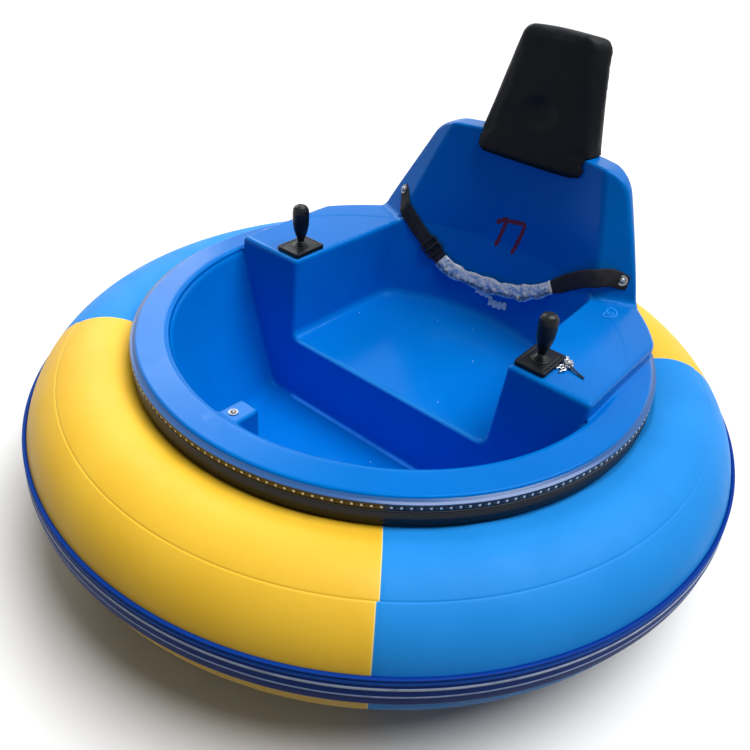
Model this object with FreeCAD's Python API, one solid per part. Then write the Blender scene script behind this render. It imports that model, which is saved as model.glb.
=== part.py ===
import FreeCAD, Part
import math
import os

# Inflatable bumper car, millimetres. +Z is up and z = 0 is the ground. The rider faces -Y, and
# +X is the rider's left. The origin is on the ground under the centre of the round body.
V = FreeCAD.Vector
AXIS_X, AXIS_Y, AXIS_Z = V(1, 0, 0), V(0, 1, 0), V(0, 0, 1)
ORIGIN = V(0, 0, 0)

# ---- clearances between neighbouring pieces
seat_gap = 0.3            # a piece beside the seat that carries it
run_gap = 0.08            # a shaft in its bore, on the radius
reach = 2000.0            # longer than the whole car, for cutting blocks

# ---- chassis
clearance_z = 60.0        # ground to the underside of the frame
beam_width = 40.0
beam_height = 26.0
beam_wall = 3.0
spine_x = 110.0           # the two beams that run front to back
hoop_wall = 3.0
hoop_ledge_width = 58.0   # turned-out foot that carries the ring
drive_y = 65.0            # axle line of the two drive wheels
cross_spread = 115.0      # cross beams before and behind that axle line

# ---- body moulding: one glass-fibre skin
skin = 8.0
cockpit_depth = 408.0     # rim to floor
seat_rise = 200.0         # floor to seat
arm_rise = 38.0           # rim to armrest
back_rise = 360.0         # rim to the top of the backrest
tub_y = 20.0              # axis of the round tub; the ring sits this far forward on it
rim_bead = 14.0           # depth of the rounded edge of the rim
rim_return = 36.0         # rim to the lower edge of its turned-down wall
opening_r = 593.0         # cockpit mouth
rim_width = 88.0          # mouth to the rim's outer edge
rim_return_in = 9.0       # that edge to the outside of the turned-down wall
mouth_round = 18.0
wall_run = 165.0          # how much wider the mouth is than the floor, on the radius
wall_bulge = 11.0         # how far the cockpit wall bows out of straight
front_y = -51.0           # seat front at the floor
front_slope = 0.0976      # its lean per mm of height
seat_half_front, seat_half_rear = 354.0, 346.0
arm_half_front, arm_half_rear = 367.0, 349.0
boss_x, boss_width = 6.5, 60.0    # box at the front of the mouth
boss_reach = 62.0         # mouth to the box's rear face
boss_drop = 4.0
boss_bolt_x, boss_bolt_in = 3.0, 46.0
boss_washer_r, boss_head_r = 11.0, 7.0

# inside of the backrest: one round surface about an axis in front of the car's own
trough_back = 776.0       # that axis to the rear edge of the rim
TROUGH = (                # (rise over the seat, radius)
    (0.0, 578.0),
    (246.0, 643.0),
    (568.0, 692.0),
)
wing_x, wing_back = 350.0, 242.0  # inner rear corner of the armrest, where a wing starts
wing_sweep = 0.452                # wing face: backward per mm outward
wing_lean = 0.467                 # wing face: backward per mm upward
back_foot_half = 470.0            # half width of the backrest at the armrests
back_side_slope = 0.4915          # how it narrows, per mm of height
back_corner = 55.0                # rounding of its two upper corners

# ---- inflatable ring
tube_r = 183.0
ring_out = 81.0           # rim edge to the middle of the tube
ring_drop = 240.0         # rim to the ring's middle plane
seam_angle = -51.5        # first joint between two colours, from +X
PANELS = ("front", "right", "rear", "left")
band_wall = 5.0
band_low, band_high = -8.0, 15.5  # angles on the tube
band_bead_r = 4.0

# ---- rim trim
gasket_low = 82.0         # rim to the gasket's underside
gasket_lap = 21.0         # how far it reaches in under the turned-down wall
gasket_width = 42.0
gasket_round = 12.0
led_channel_wall = 21.0
led_rise = 13.0           # underside of the channel to the middle of its groove
led_groove, led_groove_depth = 11.0, 4.0
led_strip_wall = 2.4

# ---- headrest
pad_foot_half, pad_top_half = 203.0, 118.0
pad_height = 380.0
pad_wall = 70.0
pad_overlap = 64.0        # how far its foot hangs below the top of the backrest
pad_x, pad_back = 7.0, 123.0      # middle of its front face at the foot, from the rear of the rim
pad_lean = 10.0
pad_corner = 38.0
pad_edge_round = 16.0
board_wall = 12.0
board_inset = 3.0

# ---- joysticks: x is outward on either side
SIDES = (("right", -1), ("left", 1))
stick_x, stick_y = 415.0, 63.0
plate_x, plate_y, plate_wall, plate_corner = 86.0, 112.0, 12.0, 7.0
plate_screw_r, plate_screw_in, plate_screw_height = 4.0, 9.0, 2.0
collar_r, collar_height = 17.0, 7.0
GRIP = (                  # (height over the collar, radius)
    (0.0, 10.0), (10.0, 10.0), (18.0, 12.5), (29.0, 17.0), (43.0, 21.0), (57.0, 23.5), (72.0, 24.5),
    (94.0, 24.5), (106.0, 23.0), (114.0, 18.0), (118.0, 10.0),
)

# ---- key switch
key_x, key_y = 474.0, 99.0
key_flange_r, key_barrel_r, key_height = 13.0, 11.0, 12.0
key_blade = 2.5
key_loop_r = 11.0
key_tag_x, key_tag_y, key_tag_drop = 34.0, 14.0, 22.0

# ---- lap belt: (x, rise over the armrests, stand-off from the backrest) along each piece
belt_width, belt_wall = 46.0, 2.5
adjuster_width, adjuster_wall = 58.0, 5.0
buckle_width, buckle_wall = 64.0, 20.0
anchor_r, anchor_head_r = 15.0, 9.0
ANCHOR_RIGHT = (-384.0, 80.0)
ANCHOR_LEFT = (407.0, 58.0)
STRAP_RIGHT = (
    (-398.0, 94.0, 0.0), (-384.0, 80.0, 0.0), (-370.0, 66.0, 0.0), (-346.0, 44.0, 10.0),
    (-320.0, 20.0, 9.0), (-290.0, -8.0, 4.0), (-259.0, -36.0, 3.0), (-234.0, -63.0, 3.0),
    (-212.0, -89.0, 4.0), (-200.0, -100.0, 6.0),
)
ADJUSTER = ((-262.0, -33.0, 6.5), (-236.0, -61.0, 6.5), (-222.0, -76.0, 6.5))
BUCKLE = (
    (-198.0, -102.0, 2.0), (-185.0, -112.0, 2.0), (-160.0, -123.0, 2.0), (-121.0, -129.0, 2.0),
    (-45.0, -134.0, 2.0), (30.0, -126.0, 2.0), (104.0, -108.0, 2.0), (171.0, -72.0, 2.0),
    (206.0, -45.0, 2.0),
)
STRAP_LEFT = (
    (209.0, -42.0, 6.0), (232.0, -22.0, 8.0), (273.0, 19.0, 10.0), (310.0, 48.0, 16.0),
    (340.0, 66.0, 20.0), (366.0, 68.0, 14.0), (389.0, 63.0, 0.0), (407.0, 58.0, 0.0),
    (425.0, 53.0, 0.0),
)

# ---- drive wheels
drive_x = 330.0
tyre_r, tyre_width, tyre_round = 86.0, 50.0, 10.0
hub_r, hub_width, hub_web = 52.0, 46.0, 12.0
shaft_r = 10.0
hub_rim, hub_boss = 7.0, 12.0
axle_cap_r, axle_cap = 17.0, 5.0
motor_r, motor_length = 44.0, 105.0
gearbox_side, gearbox_length, gearbox_wall = 92.0, 46.0, 8.0
bracket_x, bracket_wall = 288.0, 6.0
bracket_rise = 70.0
bracket_turn = 40.0       # length of its turned ends

# ---- casters: name, y
CASTERS = (("front", -330.0), ("rear", 430.0))
caster_r, caster_width = 30.0, 24.0
caster_trail = 26.0
caster_plate_y, caster_plate_wall = 110.0, 4.0
race_r, race_height, race_gap = 22.0, 4.0, 1.0
fork_crown = 4.0
fork_wall, fork_gap = 3.0, 2.5
fork_foot = 9.0           # half width of a leg round the wheel pin
kingpin_r, kingpin_short = 6.0, 2.0
caster_pin_r = 4.0
caster_round = 4.0

# ---- battery pack
battery_x, battery_y, battery_z = 200.0, 170.0, 185.0
battery_front_y = 205.0
battery_spacing = 8.0

# ---- heights that follow from the sizes above
beam_top = clearance_z + beam_height
floor_z = beam_top + skin
rim_z = floor_z + cockpit_depth
seat_z = floor_z + seat_rise
arm_z = rim_z + arm_rise
back_z = rim_z + back_rise
ring_z = rim_z - ring_drop
flange_z = rim_z - skin
gasket_z = rim_z - gasket_low

# ---- places that follow from the mouth of the cockpit
floor_r = opening_r - wall_run
arm_outer_x = opening_r
rim_r = opening_r + rim_width
rim_return_r = rim_r - rim_return_in
gasket_outer_r = rim_return_r - gasket_lap + gasket_width
boss_y = tub_y - opening_r + boss_reach
boss_bolt_y = boss_y - boss_bolt_in
rim_rear_y = tub_y + rim_r
trough_axis_y = rim_rear_y - trough_back
wing_y = rim_rear_y - wing_back
pad_front_y = rim_rear_y - pad_back
ring_mid_r = rim_r + ring_out
hoop_r = ring_mid_r - tube_r - seat_gap


def box(x0, x1, y0, y1, z0, z1):
    return Part.makeBox(x1 - x0, y1 - y0, z1 - z0, V(x0, y0, z0))


def rod(radius, start, direction, length):
    return Part.makeCylinder(radius, length, start, direction)


def disc(radius, z0, z1, y=0.0):
    return rod(radius, V(0, y, z0), AXIS_Z, z1 - z0)


def polygon(points):
    return Part.Face(Part.makePolygon([V(*p) for p in points + points[:1]]))


def revolved(edges, y=0.0):
    """Solid turned from a closed list of edges in the XZ plane, its axis upright at y."""
    return Part.Face(Part.Wire(edges)).revolve(ORIGIN, AXIS_Z, 360).translated(V(0, y, 0))


def turned(points, y=0.0):
    return revolved([line(p, q) for p, q in zip(points, points[1:] + points[:1])], y)


def line(a, b):
    return Part.LineSegment(V(a[0], 0, a[1]), V(b[0], 0, b[1])).toShape()


def arc(a, b, c):
    return Part.Arc(*(V(p[0], 0, p[1]) for p in (a, b, c))).toShape()


def joined(shapes):
    return shapes[0].multiFuse(shapes[1:]).removeSplitter() if len(shapes) > 1 else shapes[0]


def mirrored(shape):
    return shape.mirror(ORIGIN, AXIS_X)


# ------------------------------------------------------------------ body moulding
def front_plane_y(z):
    return front_y + front_slope * (z - floor_z)


def behind_front(inset):
    """Everything behind the one drafted plane of seat front and armrest fronts."""
    low, high = -reach, reach
    return Part.Face(Part.makePolygon([
        V(-reach, front_plane_y(low) + inset, low), V(-reach, reach, low),
        V(-reach, reach, high), V(-reach, front_plane_y(high) + inset, high),
        V(-reach, front_plane_y(low) + inset, low)])).extrude(V(2 * reach, 0, 0))


def cockpit_void(grow):
    """The bowl: flat floor, bowed wall, rounded mouth."""
    base, foot = floor_z - grow, floor_r + grow
    lip_z = rim_z - mouth_round
    mouth = opening_r + grow
    mid = ((floor_r + opening_r) / 2 + wall_bulge + grow, (floor_z + lip_z) / 2)
    turn = mouth_round * (1 - math.sqrt(0.5))
    edges = [line((0, base), (foot, base)), arc((foot, base), mid, (mouth, lip_z))]
    if grow:
        edges += [line((mouth, lip_z), (mouth, rim_z)), line((mouth, rim_z), (0, rim_z))]
    else:
        edges += [arc((mouth, lip_z), (mouth + turn, rim_z - turn), (mouth + mouth_round, rim_z)),
                  line((mouth + mouth_round, rim_z), (0, rim_z))]
    top = edges[-1].Vertexes[0].Point
    edges.append(line((0, rim_z), (0, base)))
    bowl = revolved(edges, tub_y)
    if not grow:
        bowl = bowl.fuse(disc(top.x, rim_z - 1.0, rim_z + reach, tub_y))
    return bowl.cut(behind_front(grow))


def trough(grow):
    """Air in front of the backrest."""
    rings = [(seat_z + rise, radius + grow) for rise, radius in TROUGH]
    foot, top = seat_z - 2 * skin, back_z + reach
    outline = [(0, foot), (rings[0][1], foot)] + [(r, z) for z, r in rings]
    outline += [(rings[-1][1], top), (0, top)]
    return turned(outline, trough_axis_y)


def seat_void(grow):
    """Air over the seat, between the armrests and in front of the backrest."""
    def outline(z, front, rear, y0):
        return Part.makePolygon([V(-front - grow, y0, z), V(front + grow, y0, z),
                                 V(rear + grow, wing_y, z), V(rear + grow, reach, z),
                                 V(-rear - grow, reach, z), V(-rear - grow, wing_y, z),
                                 V(-front - grow, y0, z)])
    start = front_y - 2 * skin
    base = seat_z - grow
    between = Part.makeLoft([outline(base, seat_half_front, seat_half_rear, start),
                             outline(arm_z, arm_half_front, arm_half_rear, start)], True, True)
    above = box(-reach, reach, -reach, reach, arm_z, arm_z + reach)
    return between.fuse(above).common(trough(grow))


def wing_front(inset):
    """Everything in front of the two swept, leaning wing faces."""
    normal = V(wing_sweep, -1.0, wing_lean).normalize()
    foot = V(wing_x, wing_y, arm_z) - normal * inset
    slab = Part.makeBox(2 * reach, 2 * reach, reach, V(-reach, -reach, 0))
    turn = FreeCAD.Rotation(AXIS_Z, normal)
    slab.Placement = FreeCAD.Placement(foot, turn).multiply(slab.Placement)
    return slab.common(box(0, reach, -reach, reach, -reach, reach))


def raised_form(inset):
    """Armrests and backrest as one solid form, shrunk by inset."""
    drum = disc(rim_r - inset, flange_z, arm_z - inset, tub_y)
    arms = drum.common(behind_front(inset)).common(
        box(inset - arm_outer_x, arm_outer_x - inset, -reach, reach, 0, reach))
    back = disc(rim_r - inset, flange_z, back_z - inset, tub_y)
    for wing in (wing_front(inset), mirrored(wing_front(inset))):
        back = back.cut(wing)
    return arms.fuse(back.common(crest(inset)))


def crest(inset):
    """The backrest seen from the front: a tapered prism with round upper corners."""
    slant = math.hypot(1.0, back_side_slope)
    top = back_z - inset
    foot_z = arm_z - 2 * skin
    foot = back_foot_half + back_side_slope * 2 * skin - inset * slant
    head = back_foot_half - back_side_slope * (top - arm_z) - inset * slant
    prism = Part.Face(Part.makePolygon([V(-foot, 0, foot_z), V(foot, 0, foot_z), V(head, 0, top),
                                        V(-head, 0, top), V(-foot, 0, foot_z)]))
    prism = prism.extrude(V(0, reach, 0))
    corners = [e for e in prism.Edges
               if all(abs(v.Z - top) < 1 for v in e.Vertexes) and abs(e.Vertexes[0].X - e.Vertexes[1].X) < 1]
    return prism.makeFillet(back_corner - inset, corners)


def rim():
    """Flange with its rounded edge and turned-down wall."""
    bead = rim_bead / 2
    inner = opening_r - mouth_round
    wall_r = rim_return_r - skin
    foot = rim_z - rim_return
    edge = rim_r - bead
    tuck = rim_z - bead - math.sqrt(bead ** 2 - (rim_return_r - edge) ** 2)
    return revolved([
        line((inner, flange_z), (inner, rim_z)), line((inner, rim_z), (edge, rim_z)),
        arc((edge, rim_z), (rim_r, rim_z - bead), (rim_return_r, tuck)),
        line((rim_return_r, tuck), (rim_return_r, foot)), line((rim_return_r, foot), (wall_r, foot)),
        line((wall_r, foot), (wall_r, flange_z)), line((wall_r, flange_z), (inner, flange_z))], tub_y)


def boss(inset):
    half = boss_width / 2 - inset
    return box(boss_x - half, boss_x + half, tub_y - rim_return_r + skin, boss_y - inset,
               floor_z, rim_z - boss_drop - inset)


def body_shell():
    bay = raised_form(skin)
    bay = bay.fuse(bay.common(box(-reach, reach, -reach, reach, flange_z, rim_z)).translated(
        V(0, 0, -skin)))
    outer = rim().fuse(raised_form(0)).cut(bay)
    walls = cockpit_void(skin).cut(boss(skin)).fuse(
        seat_void(skin).common(box(-reach, reach, -reach, reach, 0, arm_z)))
    walls = walls.common(disc(opening_r + skin, 0, rim_z, tub_y).fuse(raised_form(0)))
    return outer.fuse(walls).cut([cockpit_void(0).cut(boss(0)), seat_void(0)]).removeSplitter()


def boss_bolt():
    """Round-headed bolt and washer on the little box at the front of the mouth."""
    foot = V(boss_bolt_x, boss_bolt_y, rim_z - boss_drop + seat_gap)
    washer = rod(boss_washer_r, foot, AXIS_Z, 2.0)
    head = Part.makeSphere(boss_head_r, foot, AXIS_Z, 0, 90, 360)
    return joined([washer, head])


# ------------------------------------------------------------------ inflatable ring and trim
def tube_section(low, high, inner, outer):
    """Closed strip of the tube's own section between two angles, for revolving."""
    def at(angle, r):
        turn = math.radians(angle)
        return (ring_mid_r + r * math.cos(turn), ring_z + r * math.sin(turn))
    mid = (low + high) / 2
    return [line(at(low, inner), at(low, outer)), arc(at(low, outer), at(mid, outer), at(high, outer)),
            line(at(high, outer), at(high, inner)), arc(at(high, inner), at(mid, inner), at(low, inner))]


def ring_panel(index):
    """One coloured quarter of the tube, notched for the rubber under the rim."""
    joint = math.degrees(seat_gap / 2 / (ring_mid_r - tube_r))
    tube = Part.makeTorus(ring_mid_r, tube_r, V(0, 0, ring_z), AXIS_Z, 0, 360, 90 - 2 * joint)
    tube = tube.rotated(ORIGIN, AXIS_Z, seam_angle - 90 * (index + 1) + joint)
    clear = gasket_outer_r + seat_gap
    return tube.cut(disc(clear, gasket_z - seat_gap, rim_z, tub_y))


def fender_band():
    """Flat band round the widest part of the ring, with a round bead along its upper edge."""
    inner = tube_r + seat_gap
    strip = revolved(tube_section(band_low, band_high, inner, inner + band_wall))
    turn = math.radians(band_high)
    across = inner + band_wall / 2
    bead = Part.makeTorus(ring_mid_r + across * math.cos(turn) + band_bead_r / 2,
                          band_bead_r, V(0, 0, ring_z + across * math.sin(turn)), AXIS_Z)
    clear = Part.makeTorus(ring_mid_r, inner, V(0, 0, ring_z), AXIS_Z)
    return strip.fuse(bead.cut(clear)).removeSplitter()


def rim_gasket():
    """Rubber roll squeezed between the rim and the ring."""
    inner, outer = gasket_outer_r - gasket_width, gasket_outer_r
    top, low = rim_z - rim_return - seat_gap, gasket_z
    turn = gasket_round * (1 - math.sqrt(0.5))
    return revolved([
        line((inner, low), (outer - gasket_round, low)),
        arc((outer - gasket_round, low), (outer - turn, low + turn), (outer, low + gasket_round)),
        line((outer, low + gasket_round), (outer, top)), line((outer, top), (inner, top)),
        line((inner, top), (inner, low))], tub_y)


def led_channel():
    inner = rim_return_r + seat_gap
    outer = inner + led_channel_wall
    low, high = rim_z - rim_return, rim_z - rim_bead - seat_gap
    groove = led_groove / 2
    mid = low + led_rise
    floor = outer - led_groove_depth
    points = [(inner, low), (outer, low), (outer, mid - groove), (floor, mid - groove),
              (floor, mid + groove), (outer, mid + groove), (outer, high), (inner, high)]
    return turned(points, tub_y)


def led_strip():
    inner = rim_return_r + seat_gap + led_channel_wall - led_groove_depth + seat_gap
    mid = rim_z - rim_return + led_rise
    half = led_groove / 2 - seat_gap
    points = [(inner, mid - half), (inner + led_strip_wall, mid - half),
              (inner + led_strip_wall, mid + half), (inner, mid + half)]
    return turned(points, tub_y)


# ------------------------------------------------------------------ headrest
def headrest_slab(inset, front, rear, edge_round):
    """Tapered slab in the headrest's own plane, leaned back and set over the backrest."""
    foot, head = pad_foot_half - inset, pad_top_half - inset
    low, top = inset, pad_height - inset
    face = Part.Face(Part.makePolygon([V(-foot, front, low), V(foot, front, low), V(head, front, top),
                                       V(-head, front, top), V(-foot, front, low)]))
    slab = face.extrude(V(0, rear - front, 0))
    upright = [e for e in slab.Edges if abs(e.Vertexes[0].Y - e.Vertexes[1].Y) > 1]
    slab = slab.makeFillet(pad_corner - inset, upright)
    if edge_round:
        slab = slab.makeFillet(edge_round, [e for e in slab.Edges
                                            if abs(e.BoundBox.YMax - front) < 0.01])
    slab.rotate(ORIGIN, AXIS_X, -pad_lean)
    return slab.translated(V(pad_x, pad_front_y, back_z - pad_overlap))


def lip_block():
    """The top of the backrest with a small clearance, for cutting what stands on it."""
    block = disc(rim_r + skin, seat_z, back_z + seat_gap, tub_y)
    return block.cut(trough(-seat_gap))


def headrest_pad():
    return headrest_slab(0.0, 0.0, pad_wall, pad_edge_round).cut(lip_block())


def headrest_board():
    start = pad_wall + seat_gap
    return headrest_slab(board_inset, start, start + board_wall, 0).cut(lip_block())


# ------------------------------------------------------------------ joysticks and key
def joystick_base(side):
    """Square plate screwed to the armrest, with the collar the lever stands in."""
    z = arm_z + seat_gap
    plate = box(-plate_x / 2, plate_x / 2, -plate_y / 2, plate_y / 2, z, z + plate_wall)
    plate = plate.makeFillet(plate_corner, [e for e in plate.Edges
                                            if abs(e.Vertexes[0].Z - e.Vertexes[1].Z) > 1])
    pieces = [plate, rod(collar_r, V(0, 0, z + plate_wall - 1), AXIS_Z, collar_height + 1)]
    for dx in (-1, 1):
        for dy in (-1, 1):
            pieces.append(rod(plate_screw_r, V(dx * (plate_x / 2 - plate_screw_in),
                                               dy * (plate_y / 2 - plate_screw_in),
                                               z + plate_wall - 1), AXIS_Z, 1 + plate_screw_height))
    return joined(pieces).translated(V(side * stick_x, stick_y, 0))


def joystick_handle(side):
    """Bellows neck and pear-shaped grip."""
    foot = arm_z + seat_gap + plate_wall + collar_height + seat_gap
    outline = [(0, foot)] + [(r, foot + h) for h, r in GRIP] + [(0, foot + GRIP[-1][0])]
    return turned(outline).translated(V(side * stick_x, stick_y, 0))


def key_switch():
    z = arm_z + seat_gap
    barrel = joined([rod(key_flange_r, V(0, 0, z), AXIS_Z, 3.0),
                     rod(key_barrel_r, V(0, 0, z), AXIS_Z, key_height)])
    slot = box(-key_blade / 2, key_blade / 2, -6.5, 6.5, z + key_height - 6.0, z + key_height + 1)
    return barrel.cut(slot).translated(V(key_x, key_y, 0))


def key_ring():
    """Key standing in the switch, split ring, second key and a cord lying on the armrest."""
    z = arm_z + seat_gap
    half = key_blade / 2 - seat_gap / 2
    blade = box(-half, half, -5.0, 5.0, z + key_height - 5.0, z + key_height + 8.0)
    bow = rod(12.0, V(-half, 0, z + key_height + 16.0), AXIS_X, 2 * half)
    bow = bow.cut(rod(4.0, V(-half - 1, 0, z + key_height + 20.0), AXIS_X, 2 * half + 2))
    loop = Part.makeTorus(key_loop_r, 1.0, V(0, 0, 0), V(0.25, 0.0, 1.0))
    loop = loop.translated(V(key_loop_r - 1.0, 0, z + key_height + 18.0))
    tag = box(0, key_tag_x, -key_tag_y / 2, key_tag_y / 2, 0, 2.0)
    tag = tag.rotated(ORIGIN, AXIS_Y, key_tag_drop).translated(
        V(2 * key_loop_r - 2.0, 0, z + key_height + 14.0))
    return joined([blade, bow, loop, tag]).translated(V(key_x, key_y, 0))


# ------------------------------------------------------------------ lap belt
def back_surface(x, rise):
    """Where the backrest's face is, at a height over the armrests; and its outward normal."""
    radii = [(seat_z + up, radius) for up, radius in TROUGH]
    z = arm_z + rise
    for (z0, r0), (z1, r1) in zip(radii, radii[1:]):
        if z <= z1:
            break
    radius = r0 + (r1 - r0) * (z - z0) / (z1 - z0)
    round_y = trough_axis_y + math.sqrt(radius ** 2 - x ** 2)
    wing = wing_y + wing_sweep * (abs(x) - wing_x) + wing_lean * rise
    if round_y > wing:
        return V(x, round_y, z), V(-x, trough_axis_y - round_y, (r1 - r0) / (z1 - z0) * radius)
    side = math.copysign(1.0, x)
    return V(x, wing, z), V(side * wing_sweep, -1.0, wing_lean)


def belt(table, half_width, depth):
    """Flat band that follows (x, rise over the armrests, stand-off) points over the backrest."""
    points, normals = [], []
    for x, rise, off in table:
        point, normal = back_surface(x, rise)
        normal.normalize()
        points.append(point + normal * (off + seat_gap))
        normals.append(normal)
    last = len(points) - 1
    sections = []
    for i, (point, normal) in enumerate(zip(points, normals)):
        ahead = (points[min(i + 1, last)] - points[max(i - 1, 0)]).normalize()
        out = (normal - ahead * normal.dot(ahead)).normalize()
        across = ahead.cross(out) * half_width
        rise = out * depth
        sections.append(Part.makePolygon([point - across, point + across, point + across + rise,
                                          point - across + rise, point - across]))
    return Part.makeLoft(sections, True, True)


def belt_anchor(x, rise):
    """Washer and dome bolt that hold the end of a strap on the wing."""
    point, normal = back_surface(x, rise)
    normal.normalize()
    foot = point + normal * (belt_wall + 2 * seat_gap)
    washer = rod(anchor_r, foot, normal, 2.0)
    return joined([washer, Part.makeSphere(anchor_head_r, foot + normal * 1.0, normal, 0, 90, 360)])


# ------------------------------------------------------------------ chassis
def channel(x0, x1, y0, y1):
    """Outer block and inner hollow of a downward-open channel."""
    along_x = (x1 - x0) > (y1 - y0)
    wx, wy = (reach if along_x else -beam_wall), (-beam_wall if along_x else reach)
    return (box(x0, x1, y0, y1, clearance_z, beam_top),
            box(x0 - wx if along_x else x0 + beam_wall, x1 + wx if along_x else x1 - beam_wall,
                y0 - wy if not along_x else y0 + beam_wall,
                y1 + wy if not along_x else y1 - beam_wall,
                clearance_z - 1, beam_top - beam_wall))


def chassis_frame():
    half = beam_width / 2
    bars = [channel(s * spine_x - half, s * spine_x + half, -reach, reach) for s in (-1, 1)]
    bars += [channel(-reach, reach, y - half, y + half)
             for y in (drive_y - cross_spread, drive_y + cross_spread)]
    frame = joined([outer for outer, _ in bars]).cut([inner for _, inner in bars])
    return frame.common(disc(hoop_r - hoop_wall - seat_gap, 0, rim_z)).removeSplitter()


def chassis_hoop():
    """Upright hoop round the frame, with the ledge the ring sits on."""
    top = seat_z - skin - seat_gap
    ledge = hoop_r + hoop_ledge_width
    under = ring_z - math.sqrt((tube_r + seat_gap) ** 2 - (ring_mid_r - ledge) ** 2)
    points = [(hoop_r - hoop_wall, clearance_z), (hoop_r, clearance_z), (hoop_r, under - hoop_wall),
              (ledge, under - hoop_wall), (ledge, under), (hoop_r, under), (hoop_r, top),
              (hoop_r - hoop_wall, top)]
    return turned(points)


def wheel_bracket():
    """Plate across the two cross beams, with turned ends and a bore for the axle."""
    front = drive_y - cross_spread + beam_width / 2 + seat_gap
    rear = drive_y + cross_spread - beam_width / 2 - seat_gap
    x0 = bracket_x
    top = beam_top + bracket_rise
    plate = box(x0, x0 + bracket_wall, front, rear, clearance_z, top)
    ends = [box(x0 - bracket_turn, x0 + 1, y, y + bracket_wall, clearance_z, beam_top)
            for y in (front, rear - bracket_wall)]
    bore = rod(shaft_r + run_gap, V(x0 - 1, drive_y, tyre_r), AXIS_X, bracket_wall + 2)
    return joined([plate] + ends).cut(bore)


def drive_motor():
    """Round motor and square gearbox, bored for the axle."""
    face = bracket_x - seat_gap
    start = face - gearbox_length
    half = gearbox_side / 2
    gearbox = box(start, face, drive_y - half, drive_y + half, tyre_r - half, tyre_r + half)
    motor = rod(motor_r, V(start - motor_length, drive_y, tyre_r), AXIS_X, motor_length + 1)
    bore = rod(shaft_r + run_gap, V(start + gearbox_wall, drive_y, tyre_r), AXIS_X, gearbox_length)
    return joined([gearbox, motor]).cut(bore)


def drive_axle():
    """Shaft from the gearbox through the hub, with its end washer and bolt head."""
    start = bracket_x - seat_gap - gearbox_length + gearbox_wall + 1.0
    outer = drive_x + hub_width / 2
    foot = V(start, drive_y, tyre_r)
    shaft = rod(shaft_r, foot, AXIS_X, outer + seat_gap - start)
    cap = rod(axle_cap_r, V(outer + seat_gap, drive_y, tyre_r), AXIS_X, axle_cap)
    return joined([shaft, cap])


def drive_hub():
    """Dished rim with a boss for the axle."""
    half = hub_width / 2
    outer, inner = hub_r, hub_r - hub_rim
    boss_r = shaft_r + hub_boss
    points = [(shaft_r + run_gap, half), (boss_r, half), (boss_r, hub_web / 2),
              (inner, hub_web / 2), (inner, half), (outer, half)]
    points += [(r, -h) for r, h in reversed(points)]
    return turned(points).rotated(ORIGIN, AXIS_Y, 90).translated(V(drive_x, drive_y, tyre_r))


def drive_tyre():
    half, turn = tyre_width / 2, tyre_round
    corner = turn * (1 - math.sqrt(0.5))
    inner = hub_r + seat_gap
    ring = revolved([
        line((inner, -half), (tyre_r - turn, -half)),
        arc((tyre_r - turn, -half), (tyre_r - corner, corner - half), (tyre_r, turn - half)),
        line((tyre_r, turn - half), (tyre_r, half - turn)),
        arc((tyre_r, half - turn), (tyre_r - corner, half - corner), (tyre_r - turn, half)),
        line((tyre_r - turn, half), (inner, half)), line((inner, half), (inner, -half))])
    return ring.rotated(ORIGIN, AXIS_Y, 90).translated(V(drive_x, drive_y, tyre_r))


def battery(side):
    x0 = battery_spacing / 2
    block = box(x0, x0 + battery_x, battery_front_y, battery_front_y + battery_y,
                beam_top + seat_gap, beam_top + battery_z)
    return block if side > 0 else mirrored(block)


# ------------------------------------------------------------------ casters
def caster_plate(y):
    """Mounting plate between the two spine beams, with the fixed half of the swivel race."""
    half = spine_x - beam_width / 2 - seat_gap
    plate = box(-half, half, -caster_plate_y / 2, caster_plate_y / 2,
                beam_top - seat_gap - caster_plate_wall, beam_top - seat_gap)
    low = beam_top - seat_gap - caster_plate_wall - race_height
    race = rod(race_r, V(0, 0, low), AXIS_Z, race_height + 1)
    bore = rod(kingpin_r + run_gap, V(0, 0, 0), AXIS_Z, rim_z)
    return joined([plate, race]).cut(bore).translated(V(0, y, 0))


def caster_fork(y):
    """Crown, two legs, kingpin and wheel pin."""
    crown_top = beam_top - seat_gap - caster_plate_wall - race_height - race_gap
    crown_low = crown_top - fork_crown
    half = caster_width / 2 + fork_gap
    crown = box(-half - fork_wall, half + fork_wall, -race_r, caster_trail + fork_foot,
                crown_low, crown_top)
    pin_z = caster_r
    legs = []
    for x in (-half - fork_wall, half):
        outline = [(x, caster_trail - fork_foot, pin_z - fork_foot),
                   (x, caster_trail + fork_foot, pin_z - fork_foot),
                   (x, caster_trail + fork_foot, crown_low + 1),
                   (x, -race_r, crown_low + 1), (x, -race_r, crown_low)]
        legs.append(polygon(outline).extrude(V(fork_wall, 0, 0)))
    pin = rod(caster_pin_r, V(-half - fork_wall - 2, caster_trail, pin_z), AXIS_X,
              2 * (half + fork_wall + 2))
    kingpin = rod(kingpin_r, V(0, 0, crown_low), AXIS_Z, beam_top - kingpin_short - crown_low)
    return joined([crown] + legs + [pin, kingpin]).translated(V(0, y, 0))


def caster_wheel(y):
    half, turn = caster_width / 2, caster_round
    corner = turn * (1 - math.sqrt(0.5))
    bore = caster_pin_r + run_gap
    rim_line = caster_r
    ring = revolved([
        line((bore, -half), (rim_line - turn, -half)),
        arc((rim_line - turn, -half), (rim_line - corner, corner - half), (rim_line, turn - half)),
        line((rim_line, turn - half), (rim_line, half - turn)),
        arc((rim_line, half - turn), (rim_line - corner, half - corner), (rim_line - turn, half)),
        line((rim_line - turn, half), (bore, half)), line((bore, half), (bore, -half))])
    return ring.rotated(ORIGIN, AXIS_Y, 90).translated(V(0, y + caster_trail, caster_r))


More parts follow.
